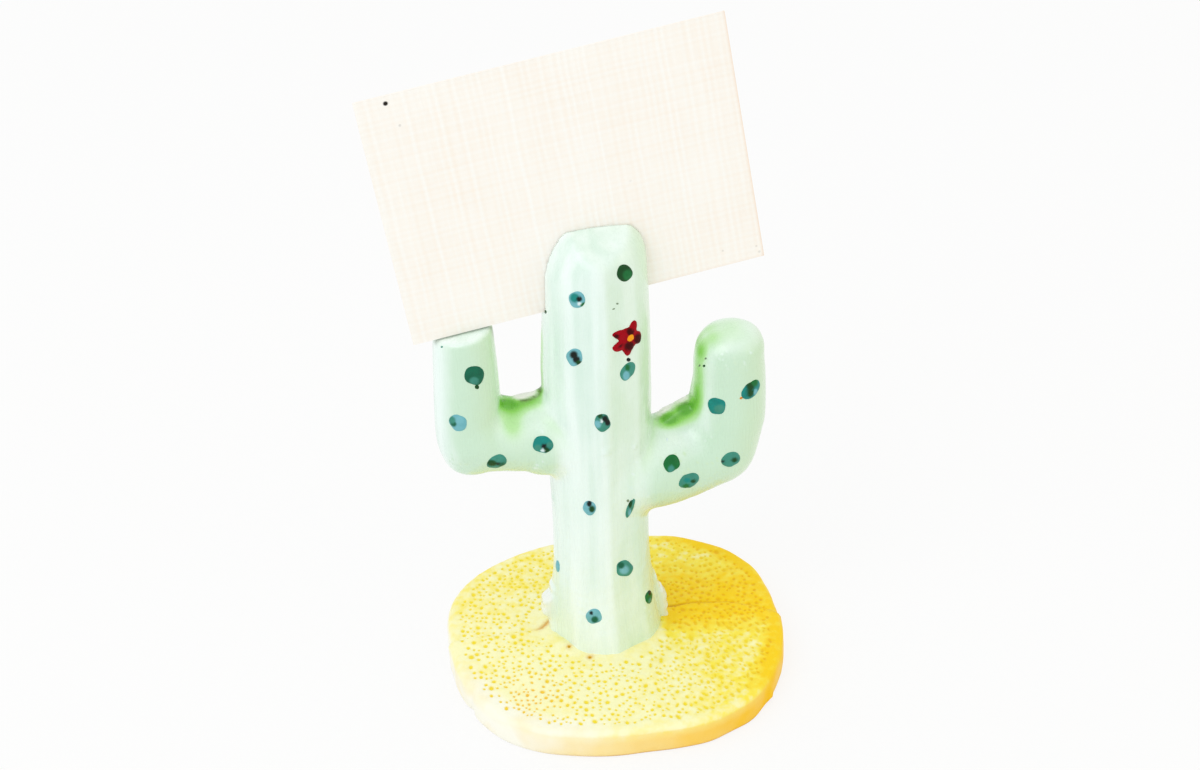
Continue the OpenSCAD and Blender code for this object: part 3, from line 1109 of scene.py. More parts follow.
    def _pool_and_shade(self, x: np.ndarray, y: np.ndarray, z: np.ndarray, normals: np.ndarray) -> np.ndarray:
        """Finds how much deeper green lies at points of the skin: paint gathered in the crotches, and painted
        shade in recesses and on faces turned from the key lamp.

        Args:
            x: Places, left to right.
            y: Places, front to back.
            z: Heights.
            normals: Directions of the skin there.

        Returns:
            Shares from 0 to 1.
        """
        off = np.abs(y - self.datum.part_y)
        total = np.zeros(len(x))
        for pool_and_shade in self.pools_and_shades:
            (wx, wy, wz), (sx, sy, sz) = pool_and_shade.place, pool_and_shade.spread
            deep = abs(wy - self.datum.part_y)
            total = total + pool_and_shade.strength * bell(x, wx, sx) * bell(off, deep, sy) * bell(z, wz, sz)
        # Painted shade: the green deepens near the other limbs on faces that look up, as in a recess.
        others = np.sort([self._trunk(x, y, z), self._left(x, y, z), self._right(x, y, z)], axis=0)[1]
        close = np.exp(-np.maximum(others, 0) / 2.2) * np.clip(normals[:, 2] + 0.35, 0, 1)
        return np.clip(total + 0.3 * close, 0, 1)

    def _gap_shadow(self, x: np.ndarray, y: np.ndarray, z: np.ndarray) -> np.ndarray:
        """Finds the painted shadow: a dark line under the lips in the crotches, and under the card's edge on
        the left arm's tip.

        Args:
            x: Places, left to right.
            y: Places, front to back.
            z: Heights.

        Returns:
            Shares from 0 to 1.
        """
        d = self.datum
        limbs, lips = self.limbs(x, y, z), self.lips(x, y, z)
        broken = ramp(-0.6, 0.3, ripple(x, 0 * y, z, 2.6, 23))
        near = broken * bell(limbs, 0.15, 0.16) * bell(np.maximum(lips, 0), 0, 0.3)
        here = ramp(self.left_x, self.left_x + 6, x) * (x < d.trunk_x) * ramp(43.5, 44.5, z) * (z < 51)
        right = 0.35 * (x > d.trunk_x) * ramp(37, 38.5, z) * (z < 46)
        # Painted shadow under the card's lower edge, on the left arm's tip.
        tip = (x < d.trunk_x - 12) * ramp(56.5, 57.5, z) * bell(y, d.slot_y, 0.55)
        return np.clip(0.9 * near * (here + right) + 0.55 * tip, 0, 1)


class Pigment(Enum):
    """Colours of the dabbed paint, as screen colours; the palest is a painted highlight."""

    # Near-black paint, also used for painted dark reflections in the glossy dabs.
    INK = "#06140c"
    BOTTLE = "#064a16"
    EMERALD = "#0c7436"
    PINE = "#08684c"
    TEAL = "#0e8c84"
    SLATE = "#429482"
    STEEL = "#7abcc6"
    # The next colour is a painted highlight, for glints on the dabs and on the trunk.
    PAINTED_GLINT = "#e6f4f6"
    RED = "#a80418"
    MAROON = "#480206"
    YOLK = "#f7a51c"
    ORANGE = "#dd8b2a"
    DUST = "#8a9a80"

    def rgb(self) -> np.ndarray:
        """Returns the pigment's linear colour."""
        return np.array(linear(self.value)[:3])


@dataclass(frozen=True)
class Mark:
    """A darker or paler place within a dab, in halves of the dab's size from its middle; some are the paint's
    own patches, and some are painted reflections and highlights on its glossy dome.
    """

    right: float
    up: float
    size: float
    pigment: Pigment


@dataclass(frozen=True)
class Touch:
    """One touch of the brush.

    Attributes:
        place: Its middle, on or near the skin.
        width: Its width.
        height: Its height.
        tilt: How far it is turned to the left, in degrees.
        pigment: Its colour.
        marks: Darker and paler places in it, partly painted reflections and highlights.
        point: How far it is drawn to a point, at its lower end.
        rise: Its thickness in the middle.
        outline: Radii of a free outline, each a direction in degrees and a radius.
        lift: How far it lies above the skin, on other paint.
        gaze: The right, up and ahead of whoever sees it at its width and height, or nothing for its own skin.
    """

    place: Triple
    width: float
    height: float
    tilt: float
    pigment: Pigment
    marks: tuple[Mark, ...] = ()
    point: float = 0.0
    rise: float = 0.2
    outline: tuple[Pair, ...] = ()
    lift: float = 0.0
    gaze: tuple[Triple, ...] = ()


# Short names for the rows of touches.
P, M = Pigment, Mark

# The palest marks in these rows are painted highlights, and the near-black ones are partly painted dark
# reflections on the glossy dabs.
FRONT_TOUCHES = (
    Touch((2.02, -4.05, 67.47), 2.25, 2.3, 0, P.BOTTLE, (M(0.35, -0.2, 0.6, P.EMERALD),)),
    Touch((-4.55, -3.6, 64.35), 2.5, 2.2, -18, P.STEEL,
          (M(-0.2, 0.3, 0.5, P.TEAL), M(0.3, 0.15, 0.3, P.INK), M(0.35, -0.45, 0.22, P.PAINTED_GLINT),
           M(0.75, -0.65, 0.3, P.EMERALD))),
    Touch((-5.56, -4.33, 55.23), 2.4, 2.4, 10, P.STEEL,
          (M(0.0, 0.35, 0.42, P.INK), M(0.3, -0.2, 0.38, P.INK), M(0.55, -0.6, 0.3, P.BOTTLE))),
    Touch((2.1, -5.2, 51.9), 1.8, 2.5, -35, P.SLATE,
          (M(0.0, 0.55, 0.35, P.EMERALD), M(-0.2, -0.35, 0.5, P.STEEL)), point=-0.3),
    Touch((-2.11, -5.87, 44.77), 2.3, 2.6, 12, P.SLATE,
          (M(0.3, 0.5, 0.34, P.INK), M(0.65, 0.1, 0.34, P.INK), M(-0.6, -0.1, 0.4, P.STEEL),
           M(-0.3, 0.8, 0.25, P.BOTTLE), M(-0.1, 0.25, 0.16, P.PAINTED_GLINT))),
    Touch((-19.36, -2.28, 53.09), 2.9, 2.7, 25, P.PINE, (M(-0.1, -0.5, 0.4, P.SLATE),)),
    Touch((-22.22, -2.3, 45.59), 2.75, 2.3, -28, P.STEEL,
          (M(-0.45, -0.05, 0.34, P.PINE), M(-0.6, 0.4, 0.4, P.SLATE))),
    Touch((-10.33, -3.25, 40.75), 2.95, 2.55, 0, P.TEAL,
          (M(0.1, -0.15, 0.26, P.INK), M(0.35, -0.6, 0.3, P.BOTTLE), M(-0.05, -0.62, 0.2, P.PAINTED_GLINT),
           M(-0.5, -0.35, 0.35, P.SLATE), M(0.65, 0.0, 0.3, P.SLATE))),
    Touch((-17.05, -3.11, 38.55), 3.05, 1.9, 24, P.SLATE,
          (M(0.05, -0.05, 0.2, P.INK), M(-0.5, 0.0, 0.45, P.BOTTLE), M(0.5, -0.3, 0.35, P.PINE))),
    Touch((-4.3, -4.79, 29.69), 1.9, 2.25, 8, P.STEEL,
          (M(0.0, 0.65, 0.36, P.INK), M(0.4, -0.05, 0.42, P.BOTTLE))),
    Touch((1.91, -4.57, 28.36), 1.55, 2.7, -38, P.SLATE,
          (M(0.0, 0.65, 0.45, P.BOTTLE), M(-0.2, -0.3, 0.4, P.STEEL))),
    Touch((15.12, -2.54, 42.97), 2.75, 2.35, -28, P.TEAL, (M(0.35, -0.3, 0.5, P.SLATE),)),
    Touch((20.58, -2.6, 45.2), 2.0, 2.95, -42, P.TEAL,
          (M(-0.45, 0.3, 0.5, P.BOTTLE), M(-0.45, -0.35, 0.45, P.BOTTLE), M(0.2, 0.75, 0.5, P.EMERALD),
           M(0.35, -0.3, 0.3, P.STEEL)), point=0.35),
    Touch((8.22, -4.0, 35.18), 2.3, 2.75, -24, P.EMERALD, (M(-0.1, -0.6, 0.4, P.SLATE),)),
    Touch((17.04, -3.7, 34.31), 2.95, 2.2, 20, P.SLATE,
          (M(-0.85, -0.25, 0.16, P.INK), M(0.3, 0.0, 0.3, P.BOTTLE))),
    Touch((10.73, -4.5, 31.82), 3.2, 2.1, 24, P.SLATE,
          (M(0.35, 0.05, 0.24, P.BOTTLE), M(-0.3, -0.6, 0.3, P.EMERALD), M(-0.2, 0.2, 0.3, P.TEAL))),
    Touch((1.0, -4.95, 18.05), 2.55, 2.5, 0, P.SLATE,
          (M(-0.1, -0.1, 0.5, P.STEEL), M(-0.45, 0.45, 0.36, P.PINE))),
    Touch((4.82, -3.0, 11.16), 1.1, 2.2, 0, P.EMERALD,
          (M(-0.1, 0.65, 0.36, P.INK), M(0.0, -0.5, 0.4, P.SLATE))),
    Touch((-4.32, -5.37, 10.7), 2.4, 2.35, 0, P.STEEL,
          (M(-0.3, 0.5, 0.22, P.INK), M(0.15, -0.35, 0.42, P.PINE))),
    Touch((-8.8, 0.3, 16.7), 0.6, 1.9, 0, P.STEEL),
    Touch((-19.11, -2.5, 51.22), 0.6, 0.6, 0, P.BOTTLE, rise=0.1),
    Touch((2.29, -4.8, 53.8), 0.6, 0.55, 0, P.INK, rise=0.1),
    Touch((14.19, -0.62, 50.05), 0.3, 0.3, 0, P.DUST, rise=0.05),
    Touch((14.05, -0.55, 48.85), 0.36, 0.36, 0, P.BOTTLE, rise=0.06),
    Touch((13.6, 0.25, 48.5), 0.35, 0.25, 60, P.DUST, rise=0.05),
    Touch((1.53, -4.52, 30.04), 0.4, 0.45, 0, P.DUST, rise=0.06),
    Touch((18.67, -2.96, 44.19), 0.45, 0.35, 30, P.ORANGE, rise=0.07),
    Touch((0.69, -4.65, 63.21), 0.35, 0.25, 0, P.DUST, rise=0.05),
    Touch((0.08, -4.81, 62.59), 0.4, 0.2, 20, P.DUST, rise=0.04),
    Touch((-23.5, -0.38, 57.22), 0.35, 0.25, 10, P.SLATE, rise=0.05),
    Touch((-9.2, 0.3, 60.3), 0.4, 0.5, 0, P.BOTTLE, rise=0.06),
    # A painted glint on a small lump of the trunk.
    Touch((8.15, -1.8, 38.35), 0.26, 0.6, 8, P.PAINTED_GLINT, rise=0.06),
)
PETALS = (
    (2, 1.38), (14, 1.42), (26, 1.34), (39, 1.07), (50, 1.1), (57, 1.45), (65, 1.8), (74, 1.86), (83, 1.55),
    (90, 1.12), (98, 1.0), (111, 1.0), (125, 1.02), (137, 1.1), (155, 1.44), (166, 1.72), (174, 1.86),
    (184, 1.5), (193, 1.19), (202, 1.2), (207, 1.75), (212, 2.1), (218, 2.18), (226, 2.1), (233, 1.92),
    (240, 1.55), (250, 1.67), (258, 1.88), (265, 1.97), (272, 1.8), (279, 1.41), (295, 1.08), (313, 0.96),
    (325, 1.12), (336, 1.27), (350, 1.36),
)
FLOWER_TOUCHES = (
    Touch((2.54, -4.71, 57.34), 2.7, 2.7, 0, P.RED,
          (M(0.0, 0.62, 0.36, P.MAROON), M(0.85, -0.1, 0.5, P.MAROON), M(-0.1, -0.85, 0.5, P.MAROON),
           M(-1.4, 0.12, 0.22, P.MAROON), M(-1.1, -0.9, 0.18, P.MAROON)), rise=0.3, outline=PETALS),
    Touch((2.56, -4.71, 57.34), 0.78, 1.15, -40, P.YOLK, (M(0.0, 0.15, 0.4, P.YOLK),), rise=0.2, lift=0.24),
)


@dataclass
class Touches:
    """Raised dabs of paint that lie on the casting.

    Attributes:
        casting: What they lie on.
        turns: Points round a dab's outline.
        rings: Shares of a dab's radius at which its rings lie.
        skirt: How deep a dab's edge goes into the skin.
    """

    casting: Casting
    turns: int = 30
    rings: tuple[float, ...] = (0.22, 0.42, 0.6, 0.75, 0.87, 0.95, 1.0)
    skirt: float = 0.15

    def _outline(self, touch: Touch, turn: np.ndarray, rng: np.random.Generator) -> np.ndarray:
        """Draws the dab's outline.

        Args:
            touch: The dab.
            turn: Directions from its middle, in radians.
            rng: Source of its unevenness.

        Returns:
            Its radius in each direction.
        """
        if touch.outline:
            given = np.array(touch.outline)
            return np.interp(np.degrees(turn) % 360, given[:, 0], given[:, 1], period=360) * touch.width / 2
        a = turn - math.radians(touch.tilt)
        half_w, half_h = touch.width / 2, touch.height / 2
        oval = half_w * half_h / np.hypot(half_h * np.cos(a), half_w * np.sin(a))
        down = np.clip(-np.sin(a) * np.sign(touch.point or 1), 0, 1) ** 3
        wave = sum(rng.uniform(0.01, 0.035) * np.cos(lobes * turn + rng.uniform(0, 2 * math.pi))
                   for lobes in (2, 3, 4, 5))
        return oval * (1 + abs(touch.point) * down + wave)

    @staticmethod
    def _axes(touch: Touch, normal: np.ndarray) -> tuple[np.ndarray, np.ndarray]:
        """Finds the directions that a dab's right and up stand for.

        Args:
            touch: The dab.
            normal: Direction of the skin at its middle.

        Returns:
            Both directions.
        """
        if touch.gaze:
            right, up, ahead = np.array(touch.gaze)
            facing = min(ahead @ normal, -0.45)
            return right - ahead * (right @ normal) / facing, up - ahead * (up @ normal) / facing
        right = np.cross((0, 0, 1), normal)
        right /= np.linalg.norm(right)
        return right, np.cross(normal, right)

    def build(self, name: str, touches: tuple[Touch, ...], seed: int) -> bpy.types.Object:
        """Makes one mesh of several dabs.

        Args:
            name: The object's name.
            touches: The dabs.
            seed: Seed of their uneven outlines.

        Returns:
            The object, with the dabs' colours on it.
        """
        rng = np.random.default_rng(seed)
        points, paints, faces = [], [], []
        middles, normals = self.casting.settle(np.array([touch.place for touch in touches], float), 6)
        for touch, middle, normal in zip(touches, middles, normals):
            n = self.turns * (3 if touch.outline else 1)
            turn = np.arange(n) * 2 * math.pi / n
            right, up = self._axes(touch, normal)
            radius = self._outline(touch, turn, rng)
            flat = [np.zeros((1, 2))]
            for share in (*self.rings, 1.0):
                flat.append(share * radius[:, None] * np.stack([np.cos(turn), np.sin(turn)], axis=1))
            flat.append(np.zeros((1, 2)))
            flat = np.vstack(flat)
            share = np.concatenate([[0], np.repeat(self.rings, n), np.ones(n), [1]])
            spread = middle + flat[:, :1] * right + flat[:, 1:] * up
            on_skin, facing = self.casting.settle(spread, 5)
            dome = touch.rise * np.clip(1 - share**3.2, 0, 1) ** 0.6 + touch.lift * (share < 1)
            height = dome - self.skirt * (np.arange(len(share)) > n * len(self.rings))
            height[1 + n * (len(self.rings) - 1):1 + n * len(self.rings)] = touch.lift - 0.02
            first = sum(map(len, points))
            points.append(on_skin + height[:, None] * facing)
            paints.append(self._paint(touch, flat))
            faces += self._faces(first, n)
        made = mesh_object(name, np.vstack(points), faces)
        colours(made, "paint", np.vstack(paints))
        return made

    def _faces(self, first: int, n: int) -> list[tuple[int, ...]]:
        """Joins the points of one dab by faces.

        Args:
            first: Number of its first point.
            n: Points in a ring.

        Returns:
            Its faces.
        """
        rings = len(self.rings) + 1
        last = first + 1 + rings * n
        made = []
        for k in range(n):
            j = (k + 1) % n
            made.append((first, first + 1 + k, first + 1 + j))
            made.append((last, last - n + j, last - n + k))
            for ring in range(rings - 1):
                a = first + 1 + ring * n
                made.append((a + k, a + n + k, a + n + j, a + j))
        return made

    @staticmethod
    def _paint(touch: Touch, flat: np.ndarray) -> np.ndarray:
        """Colours a dab.

        Args:
            touch: The dab.
            flat: Its points, to the right and up from its middle.

        Returns:
            The linear colour at each point.
        """
        paint = np.tile(touch.pigment.rgb(), (len(flat), 1))
        half = np.array([touch.width, touch.height]) / 2
        for mark in touch.marks:
            away = np.linalg.norm(flat / half - (mark.right, mark.up), axis=1) / mark.size
            share = ramp(1.35, 0.75, away)[:, None]
            paint = paint * (1 - share) + mark.pigment.rgb() * share
        return paint


def back_touches(casting: Casting, seed: int) -> tuple[Touch, ...]:
    """Lays out the dabs on the back, which nothing shows, in the manner of those on the front.

    Args:
        casting: What they lie on.
        seed: Seed of their sizes and colours.

    Returns:
        The dabs.
    """
    rng = np.random.default_rng(seed)
    laid = (
        (casting.trunk, ((0.86, 40), (0.8, 110), (0.72, 70), (0.61, 105), (0.5, 60), (0.4, 120), (0.32, 75),
                         (0.23, 115), (0.2, 40))),
        (casting.left_level, ((0.7, 100),)),
        (casting.left_upright, ((0.68, 110), (0.5, 75))),
        (casting.right_level, ((0.75, 70),)),
        (casting.right_upright, ((0.55, 75), (0.25, 115))),
    )
    body = (Pigment.TEAL, Pigment.SLATE, Pigment.STEEL, Pigment.PINE, Pigment.EMERALD)
    made = []
    for limb, spots in laid:
        for share, turn in spots:
            dark = rng.uniform((-0.4, -0.4, 0.25), (0.4, 0.6, 0.4))
            pale = rng.uniform((-0.5, -0.6, 0.25), (0.5, 0.2, 0.45))
            # Each dab gets a darker and a paler patch, partly painted reflection, as on the front.
            marks = (Mark(*dark, Pigment.BOTTLE), Mark(*pale, Pigment.STEEL))
            width, height, tilt = rng.uniform((1.8, 1.8, -40), (2.4, 2.4, 40))
            pigment = body[rng.integers(len(body))]
            made.append(Touch(tuple(limb.on_skin(share, turn)), width, height, tilt, pigment, marks))
    return tuple(made)


@dataclass
class SandBase:
    """The disc of sand, whose two halves meet at the mould's parting line.

    Attributes:
        datum: Places from the frame.
        thickness: Its thickness.
        foot_r: Radius of the trunk's foot, round which the sand is smooth.
        edge: Rounding of its top edge.
        square: Squareness of its outline, where 2 is an ellipse.
        corner: Extra squareness of its front left corner.
        step: How far the front half stands proud of the back half.
        swells: Swells of the outline, each a direction and its height and spread, in degrees and millimetres.
        pits: Number of holes tried.
        pit_depth, pit_lip: Depth of a hole, and height of the lip round it.
        pit_home: Side of the squares in which a hole's neighbours are looked for.
        hook: How far the parting line turns aside at the foot's left.
        burr: Size of the burr at the front right of its wall.
        broad_pits: Large single holes, each a place and a radius.
        stains: Brown stains by the foot, each a place and a radius.
        around: Points round its outline.
    """

    datum: Datum
    thickness: float
    foot_r: float
    edge: float = 0.9
    square: float = 2.3
    corner: float = 0.4
    step: float = 0.3
    swells: tuple[Triple, ...] = ((288, 0.85, 28), (340, -0.05, 14), (30, 0.5, 20))
    pits: int = 12000
    pit_depth: float = 0.12
    pit_lip: float = 0.025
    pit_home: float = 1.5
    hook: float = 1.75
    burr: float = 0.6
    broad_pits: tuple[Triple, ...] = ((-18.0, 1.5, 0.42), (-15.5, 1.1, 0.48), (-14.2, 1.3, 0.34),
                                      (-21.6, 0.9, 0.4), (-22.5, -2.4, 0.5), (-21.6, -2.0, 0.4),
                                      (-7.9, -3.7, 0.26), (-5.3, -6.6, 0.28), (6.9, -0.3, 0.2))
    stains: tuple[Triple, ...] = ((-7.9, -3.7, 0.34), (-5.3, -6.6, 0.4))
    around: int = 420

    def outline_r(self, turn: np.ndarray) -> np.ndarray:
        """Draws the outline, from the middle of the parting line.

        Args:
            turn: Directions in radians.

        Returns:
            The radius in each direction.
        """
        front = self.datum.half_d + self.datum.part_y
        back = self.datum.half_d - self.datum.part_y
        notch = np.where(np.cos(turn) > 0, turn + math.radians(9.4), turn)
        proud = ramp(-0.006, 0.006, -np.sin(notch)) * self.step
        for toward, swell, spread in self.swells:
            proud = proud + swell * bell(turned(np.degrees(turn), toward), 0, spread)
        reach = np.where(np.sin(turn) > 0, back, front - self.step)
        n = self.square + self.corner * np.maximum(0, np.cos(turn - math.radians(230)))
        across = np.abs(np.cos(turn)) / (self.datum.half_w - self.step)
        radius = (across**n + (np.abs(np.sin(turn)) / reach) ** n) ** (-1 / n)
        dent = 0.5 * bell(np.degrees(turn) % 360, 207, 2.2)
        uneven = 0.1 * ripple(radius * np.cos(turn), radius * np.sin(turn), 0 * turn, 9, 31)
        return radius + proud - dent - 0.12 - uneven

    def seam(self, x: np.ndarray) -> np.ndarray:
        """Draws the parting line on the top.

        Args:
            x: Places, left to right.

        Returns:
            Where it runs, front to back.
        """
        turn_in = 1.25 - 5.3 * np.clip((x - 9.0) / 15.4, 0, 1.1) ** 3
        hook = self.hook * bell(x, -9.0, 1.4)
        return self.datum.part_y + np.where(x > self.datum.trunk_x, turn_in, hook) + 0.1 * np.sin(1.1 * x)

    def top(self, x: np.ndarray, y: np.ndarray) -> np.ndarray:
        """Finds the height of the top, without its holes.

        Args:
            x: Places, left to right.
            y: Places, front to back.

        Returns:
            The heights.
        """
        off = y - self.seam(x)
        side = x - self.datum.trunk_x
        cut = 1.0 * ramp(7, 9, side) * (1 - ramp(13, 20, side)) + 0.4 * ramp(12, 17, side)
        cut = cut + 0.2 * (side < 0) + 0.9 * bell(side, -9.0, 1.5)
        high = self.thickness - 0.12 - 0.3 * ramp(-0.2, 0.35, off)
        groove = 0.4 * cut * bell(off, 0, 0.26)
        collar = 0.25 * bell(np.hypot(side, y - self.datum.part_y), self.foot_r, 0.9)
        waves = 0.1 * ripple(x, y, 0 * x, 6.0, 33) + 0.03 * ripple(x, y, 0 * x, 1.8, 34)
        return high - groove + collar + waves

    def _holes(self) -> np.ndarray:
        """Scatters the pricked holes.

        Returns:
            Rows of x, y, radius, stretch and turn, none of which touch.
        """
        rng = np.random.default_rng(8)
        kept: list[tuple[float, ...]] = []
        cell: dict[tuple[int, int], list[int]] = {}
        for x, y, size in self.broad_pits:
            y -= self.datum.part_y
            cell.setdefault((int(x // self.pit_home), int(y // self.pit_home)), []).append(len(kept))
            kept.append((x, y, size, 1.25, 1.6))
        for _ in range(self.pits):
            turn, share = rng.uniform(0, 2 * math.pi), math.sqrt(rng.uniform())
            edge = float(self.outline_r(np.array([turn]))[0]) - 1.9
            x, y = share * edge * math.cos(turn), share * edge * math.sin(turn)
            away = math.hypot(x - self.datum.trunk_x, y)
            left_bare = math.exp(-(((x + 13.5) / 4.0) ** 2 + ((y + 1.0) / 3.5) ** 2))
            front_bare = math.exp(-(((x - 1.0) / 9.0) ** 2 + ((y + 11.5) / 2.4) ** 2))
            thick = ramp(self.foot_r + 1.2, self.foot_r + 3.5, np.array([away]))[0]
            crowd = 0.62 + 0.5 * float(ripple(np.array(x), np.array(y), np.array(0.0), 5.0, 35))
            deep_sand = 0.5 * float(ramp(2, 6, np.array(x)) * ramp(-3, 1, np.array(y)))
            chance = thick * (1 - 0.8 * left_bare) * (1 - 0.5 * front_bare) * (1 - deep_sand) * crowd
            streaky = x > 3 and y < -4
            size = 0.17 + 0.27 * rng.beta(1.3, 2.7) + (0.14 * rng.uniform() if rng.uniform() < 0.1 else 0)
            stretch = rng.uniform(1.5, 2.6) if streaky and rng.uniform() < 0.7 else rng.uniform(1.1, 1.6)
            slope = rng.normal(1.75 if streaky else 1.57, 0.35)
            if rng.uniform() > chance * (1 + 0.6 * streaky) or away < self.foot_r + 1.2:
                continue
            hole = (x, y, size, stretch, slope)
            home = (int(x // self.pit_home), int(y // self.pit_home))
            cells = [(home[0] + a, home[1] + b) for a, b in product((-1, 0, 1), repeat=2)]
            if any(self._touch(hole, kept[i]) for place in cells for i in cell.get(place, [])):
                continue
            cell.setdefault(home, []).append(len(kept))
            kept.append(hole)
        return np.array(kept)

    @staticmethod
    def _touch(hole: tuple[float, ...], other: tuple[float, ...]) -> bool:
        """Finds whether two holes would run into each other.

        Args:
            hole: The x, y, radius, stretch and turn of one.
            other: The same of the other.

        Returns:
            Whether they would.
        """
        u, v = hole[0] - other[0], hole[1] - other[1]
        c, s = math.cos(hole[4]), math.sin(hole[4])
        stretch = (hole[3] + other[3]) / 2
        return math.hypot((u * c + v * s) / stretch, v * c - u * s) < 1.3 * (hole[2] + other[2])

    def _top_points(self) -> tuple[np.ndarray, ...]:
        """Lays out the points of the top inside its rim.

        Returns:
            Places, how deep each is in a hole from 0 to 1, and the lip at the hole's edge.
        """
        holes = self._holes()
        rings = ((0.0, 1, 1.0, 0.0), (0.6, 6, 0.85, 0.0), (1.0, 9, 0.2, 0.4), (1.27, 9, 0.0, 1.0))
        places, deep, lip = [], [], []
        for share, count, depth, raised in rings:
            for k in range(count):
                a = 2 * math.pi * (k + 0.5 * (share == 1.0)) / count
                u = share * holes[:, 2] * holes[:, 3] * math.cos(a)
                v = share * holes[:, 2] * math.sin(a)
                c, s = np.cos(holes[:, 4]), np.sin(holes[:, 4])
                places.append(np.stack([holes[:, 0] + u * c - v * s, holes[:, 1] + u * s + v * c], axis=1))
                deep.append(depth * (0.55 + holes[:, 2] * 1.6))
                lip.append(np.full(len(holes), raised))
        places, deep, lip = np.vstack(places), np.concatenate(deep), np.concatenate(lip)
        grid = 0.62
        cx, cy = np.meshgrid(np.arange(-26, 26, grid), np.arange(-26, 26, grid))
        filler = np.stack([cx.ravel() + (np.indices(cx.shape)[0].ravel() % 2) * grid / 2, cy.ravel()], axis=1)
        rng = np.random.default_rng(9)
        filler = filler + rng.uniform(-0.08, 0.08, filler.shape)
        edge = self.outline_r(np.arctan2(filler[:, 1], filler[:, 0])) - self.edge
        filler = filler[np.hypot(*filler.T) < edge - 0.55]
        clear = np.ones(len(filler), bool)
        for x, y, size, stretch, _ in holes:
            near = np.abs(filler - (x, y)).max(1) < 1.4
            clear[near] &= np.hypot(*(filler[near] - (x, y)).T) > 1.32 * size * stretch + 0.08
        filler = filler[clear]
        side = np.arange(-24, 24, 0.16)
        line = np.vstack([np.stack([side, self.seam(side) - self.datum.part_y + off], axis=1)
                          for off in (-0.3, -0.12, 0.04, 0.22, 0.5)])
        off_holes = np.ones(len(line), bool)
        for x, y, size, stretch, _ in holes:
            off_holes &= np.hypot(*(line - (x, y)).T) > 1.32 * size * stretch + 0.05
        edge = self.outline_r(np.arctan2(line[:, 1], line[:, 0])) - self.edge - 0.3
        line = line[off_holes & (np.hypot(*line.T) < edge)]
        places = np.vstack([places, filler, line])
        more = np.zeros(len(filler) + len(line))
        return places, np.concatenate([deep, more]), np.concatenate([lip, more])

    def _top_mesh(self, radius: np.ndarray, way: np.ndarray) -> tuple:
        """Joins the points of the top by triangles.

        Args:
            radius: The outline's radius in each direction.
            way: The directions, as rows of x and y.

        Returns:
            Its points, its triangles, the numbers of the points on its rim, and how deep each point lies in
            a hole.
        """
        n = self.around
        places, deep, lip = self._top_points()
        rim = (radius - self.edge)[:, None] * way
        coords = [Vector(p) for p in np.vstack([rim, places]).tolist()]
        loop = [(k, (k + 1) % n) for k in range(n)]
        flat, _, triangles, origins, _, _ = delaunay_2d_cdt(coords, loop, [], 1, 1e-7)
        source = np.array([ids[0] if ids else -1 for ids in origins])
        deep = np.where(source >= n, np.append(np.zeros(n), deep)[source], 0)
        lip = np.where(source >= n, np.append(np.zeros(n), lip)[source], 0)
        on_rim = np.full(n, -1)
        for number, ids in enumerate(origins):
            for k in ids:
                if k < n:
                    on_rim[k] = number
        x, y = np.array([tuple(p) for p in flat]).T
        y = y + self.datum.part_y
        z = self.top(x, y) - self.pit_depth * deep + self.pit_lip * lip
        return np.column_stack([x, y, z]), [tuple(t) for t in triangles], on_rim, deep

    def _wall(self, turn: np.ndarray, radius: np.ndarray, way: np.ndarray,
              rim_z: np.ndarray) -> list[np.ndarray]:
        """Lays out the rounded edge and the wall, down to the underside.

        Args:
            turn: Directions from the middle, in radians.
            radius: The outline's radius in each direction.
            way: The directions, as rows of x and y.
            rim_z: Height of the top's rim in each direction.

        Returns:
            The points of each row, from the top down.
        """
        rows = [(self.edge * (1 - math.sin(a)), rim_z - self.edge * (1 - math.cos(a)))
                for a in np.radians((18, 36, 54, 72, 90))]
        rows += [(0.0, (rim_z - self.edge) * share) for share in (0.65, 0.45, 0.25)]
        rows += [(0.0, 0 * rim_z + 0.35), (0.12, 0 * rim_z + 0.08), (0.3, 0 * rim_z)]
        made = []
        for row, (inset, high) in enumerate(rows):
            on_wall = row > 3
            wave = 0.12 * ripple(20 * way[:, 0], 20 * way[:, 1], high * 1.5, 4.5, 36) * on_wall
            burr = self.burr * bell(np.degrees(turn), 315, 2.0) * bell(high, 1.2, 0.7)
            bulge = 0.1 * np.sin(math.pi * (1 - np.clip(high / self.thickness, 0, 1))) * on_wall
            r = np.minimum(radius - inset + wave + burr + bulge, radius + 0.12 + burr)
            made.append(np.column_stack([r * way[:, 0], r * way[:, 1] + self.datum.part_y, high]))
        return made

    def build(self) -> bpy.types.Object:
        """Makes the base as a closed mesh, with the masks that its paint reads.

        Returns:
            The object.
        """
        n = self.around
        turn = (np.arange(n) + 0.5) * 2 * math.pi / n
        way = np.stack([np.cos(turn), np.sin(turn)], axis=1)
        radius = self.outline_r(turn)
        top, faces, on_rim, deep = self._top_mesh(radius, way)
        wall = self._wall(turn, radius, way, top[on_rim, 2])
        rings = [on_rim] + [len(top) + row * n + np.arange(n) for row in range(len(wall))]
        for upper, lower in zip(rings, rings[1:]):
            faces += np.stack([upper, lower, np.roll(lower, -1), np.roll(upper, -1)], axis=1).tolist()
        points = np.vstack([top, *wall, [[0, self.datum.part_y, 0]]])
        middle = np.full(n, len(points) - 1)
        faces += np.stack([middle, np.roll(rings[-1], -1), rings[-1]], axis=1).tolist()
        made = mesh_object("sand_base", points, faces)
        self._masks(made, points, np.append(deep, np.zeros(len(points) - len(deep))))
        return made

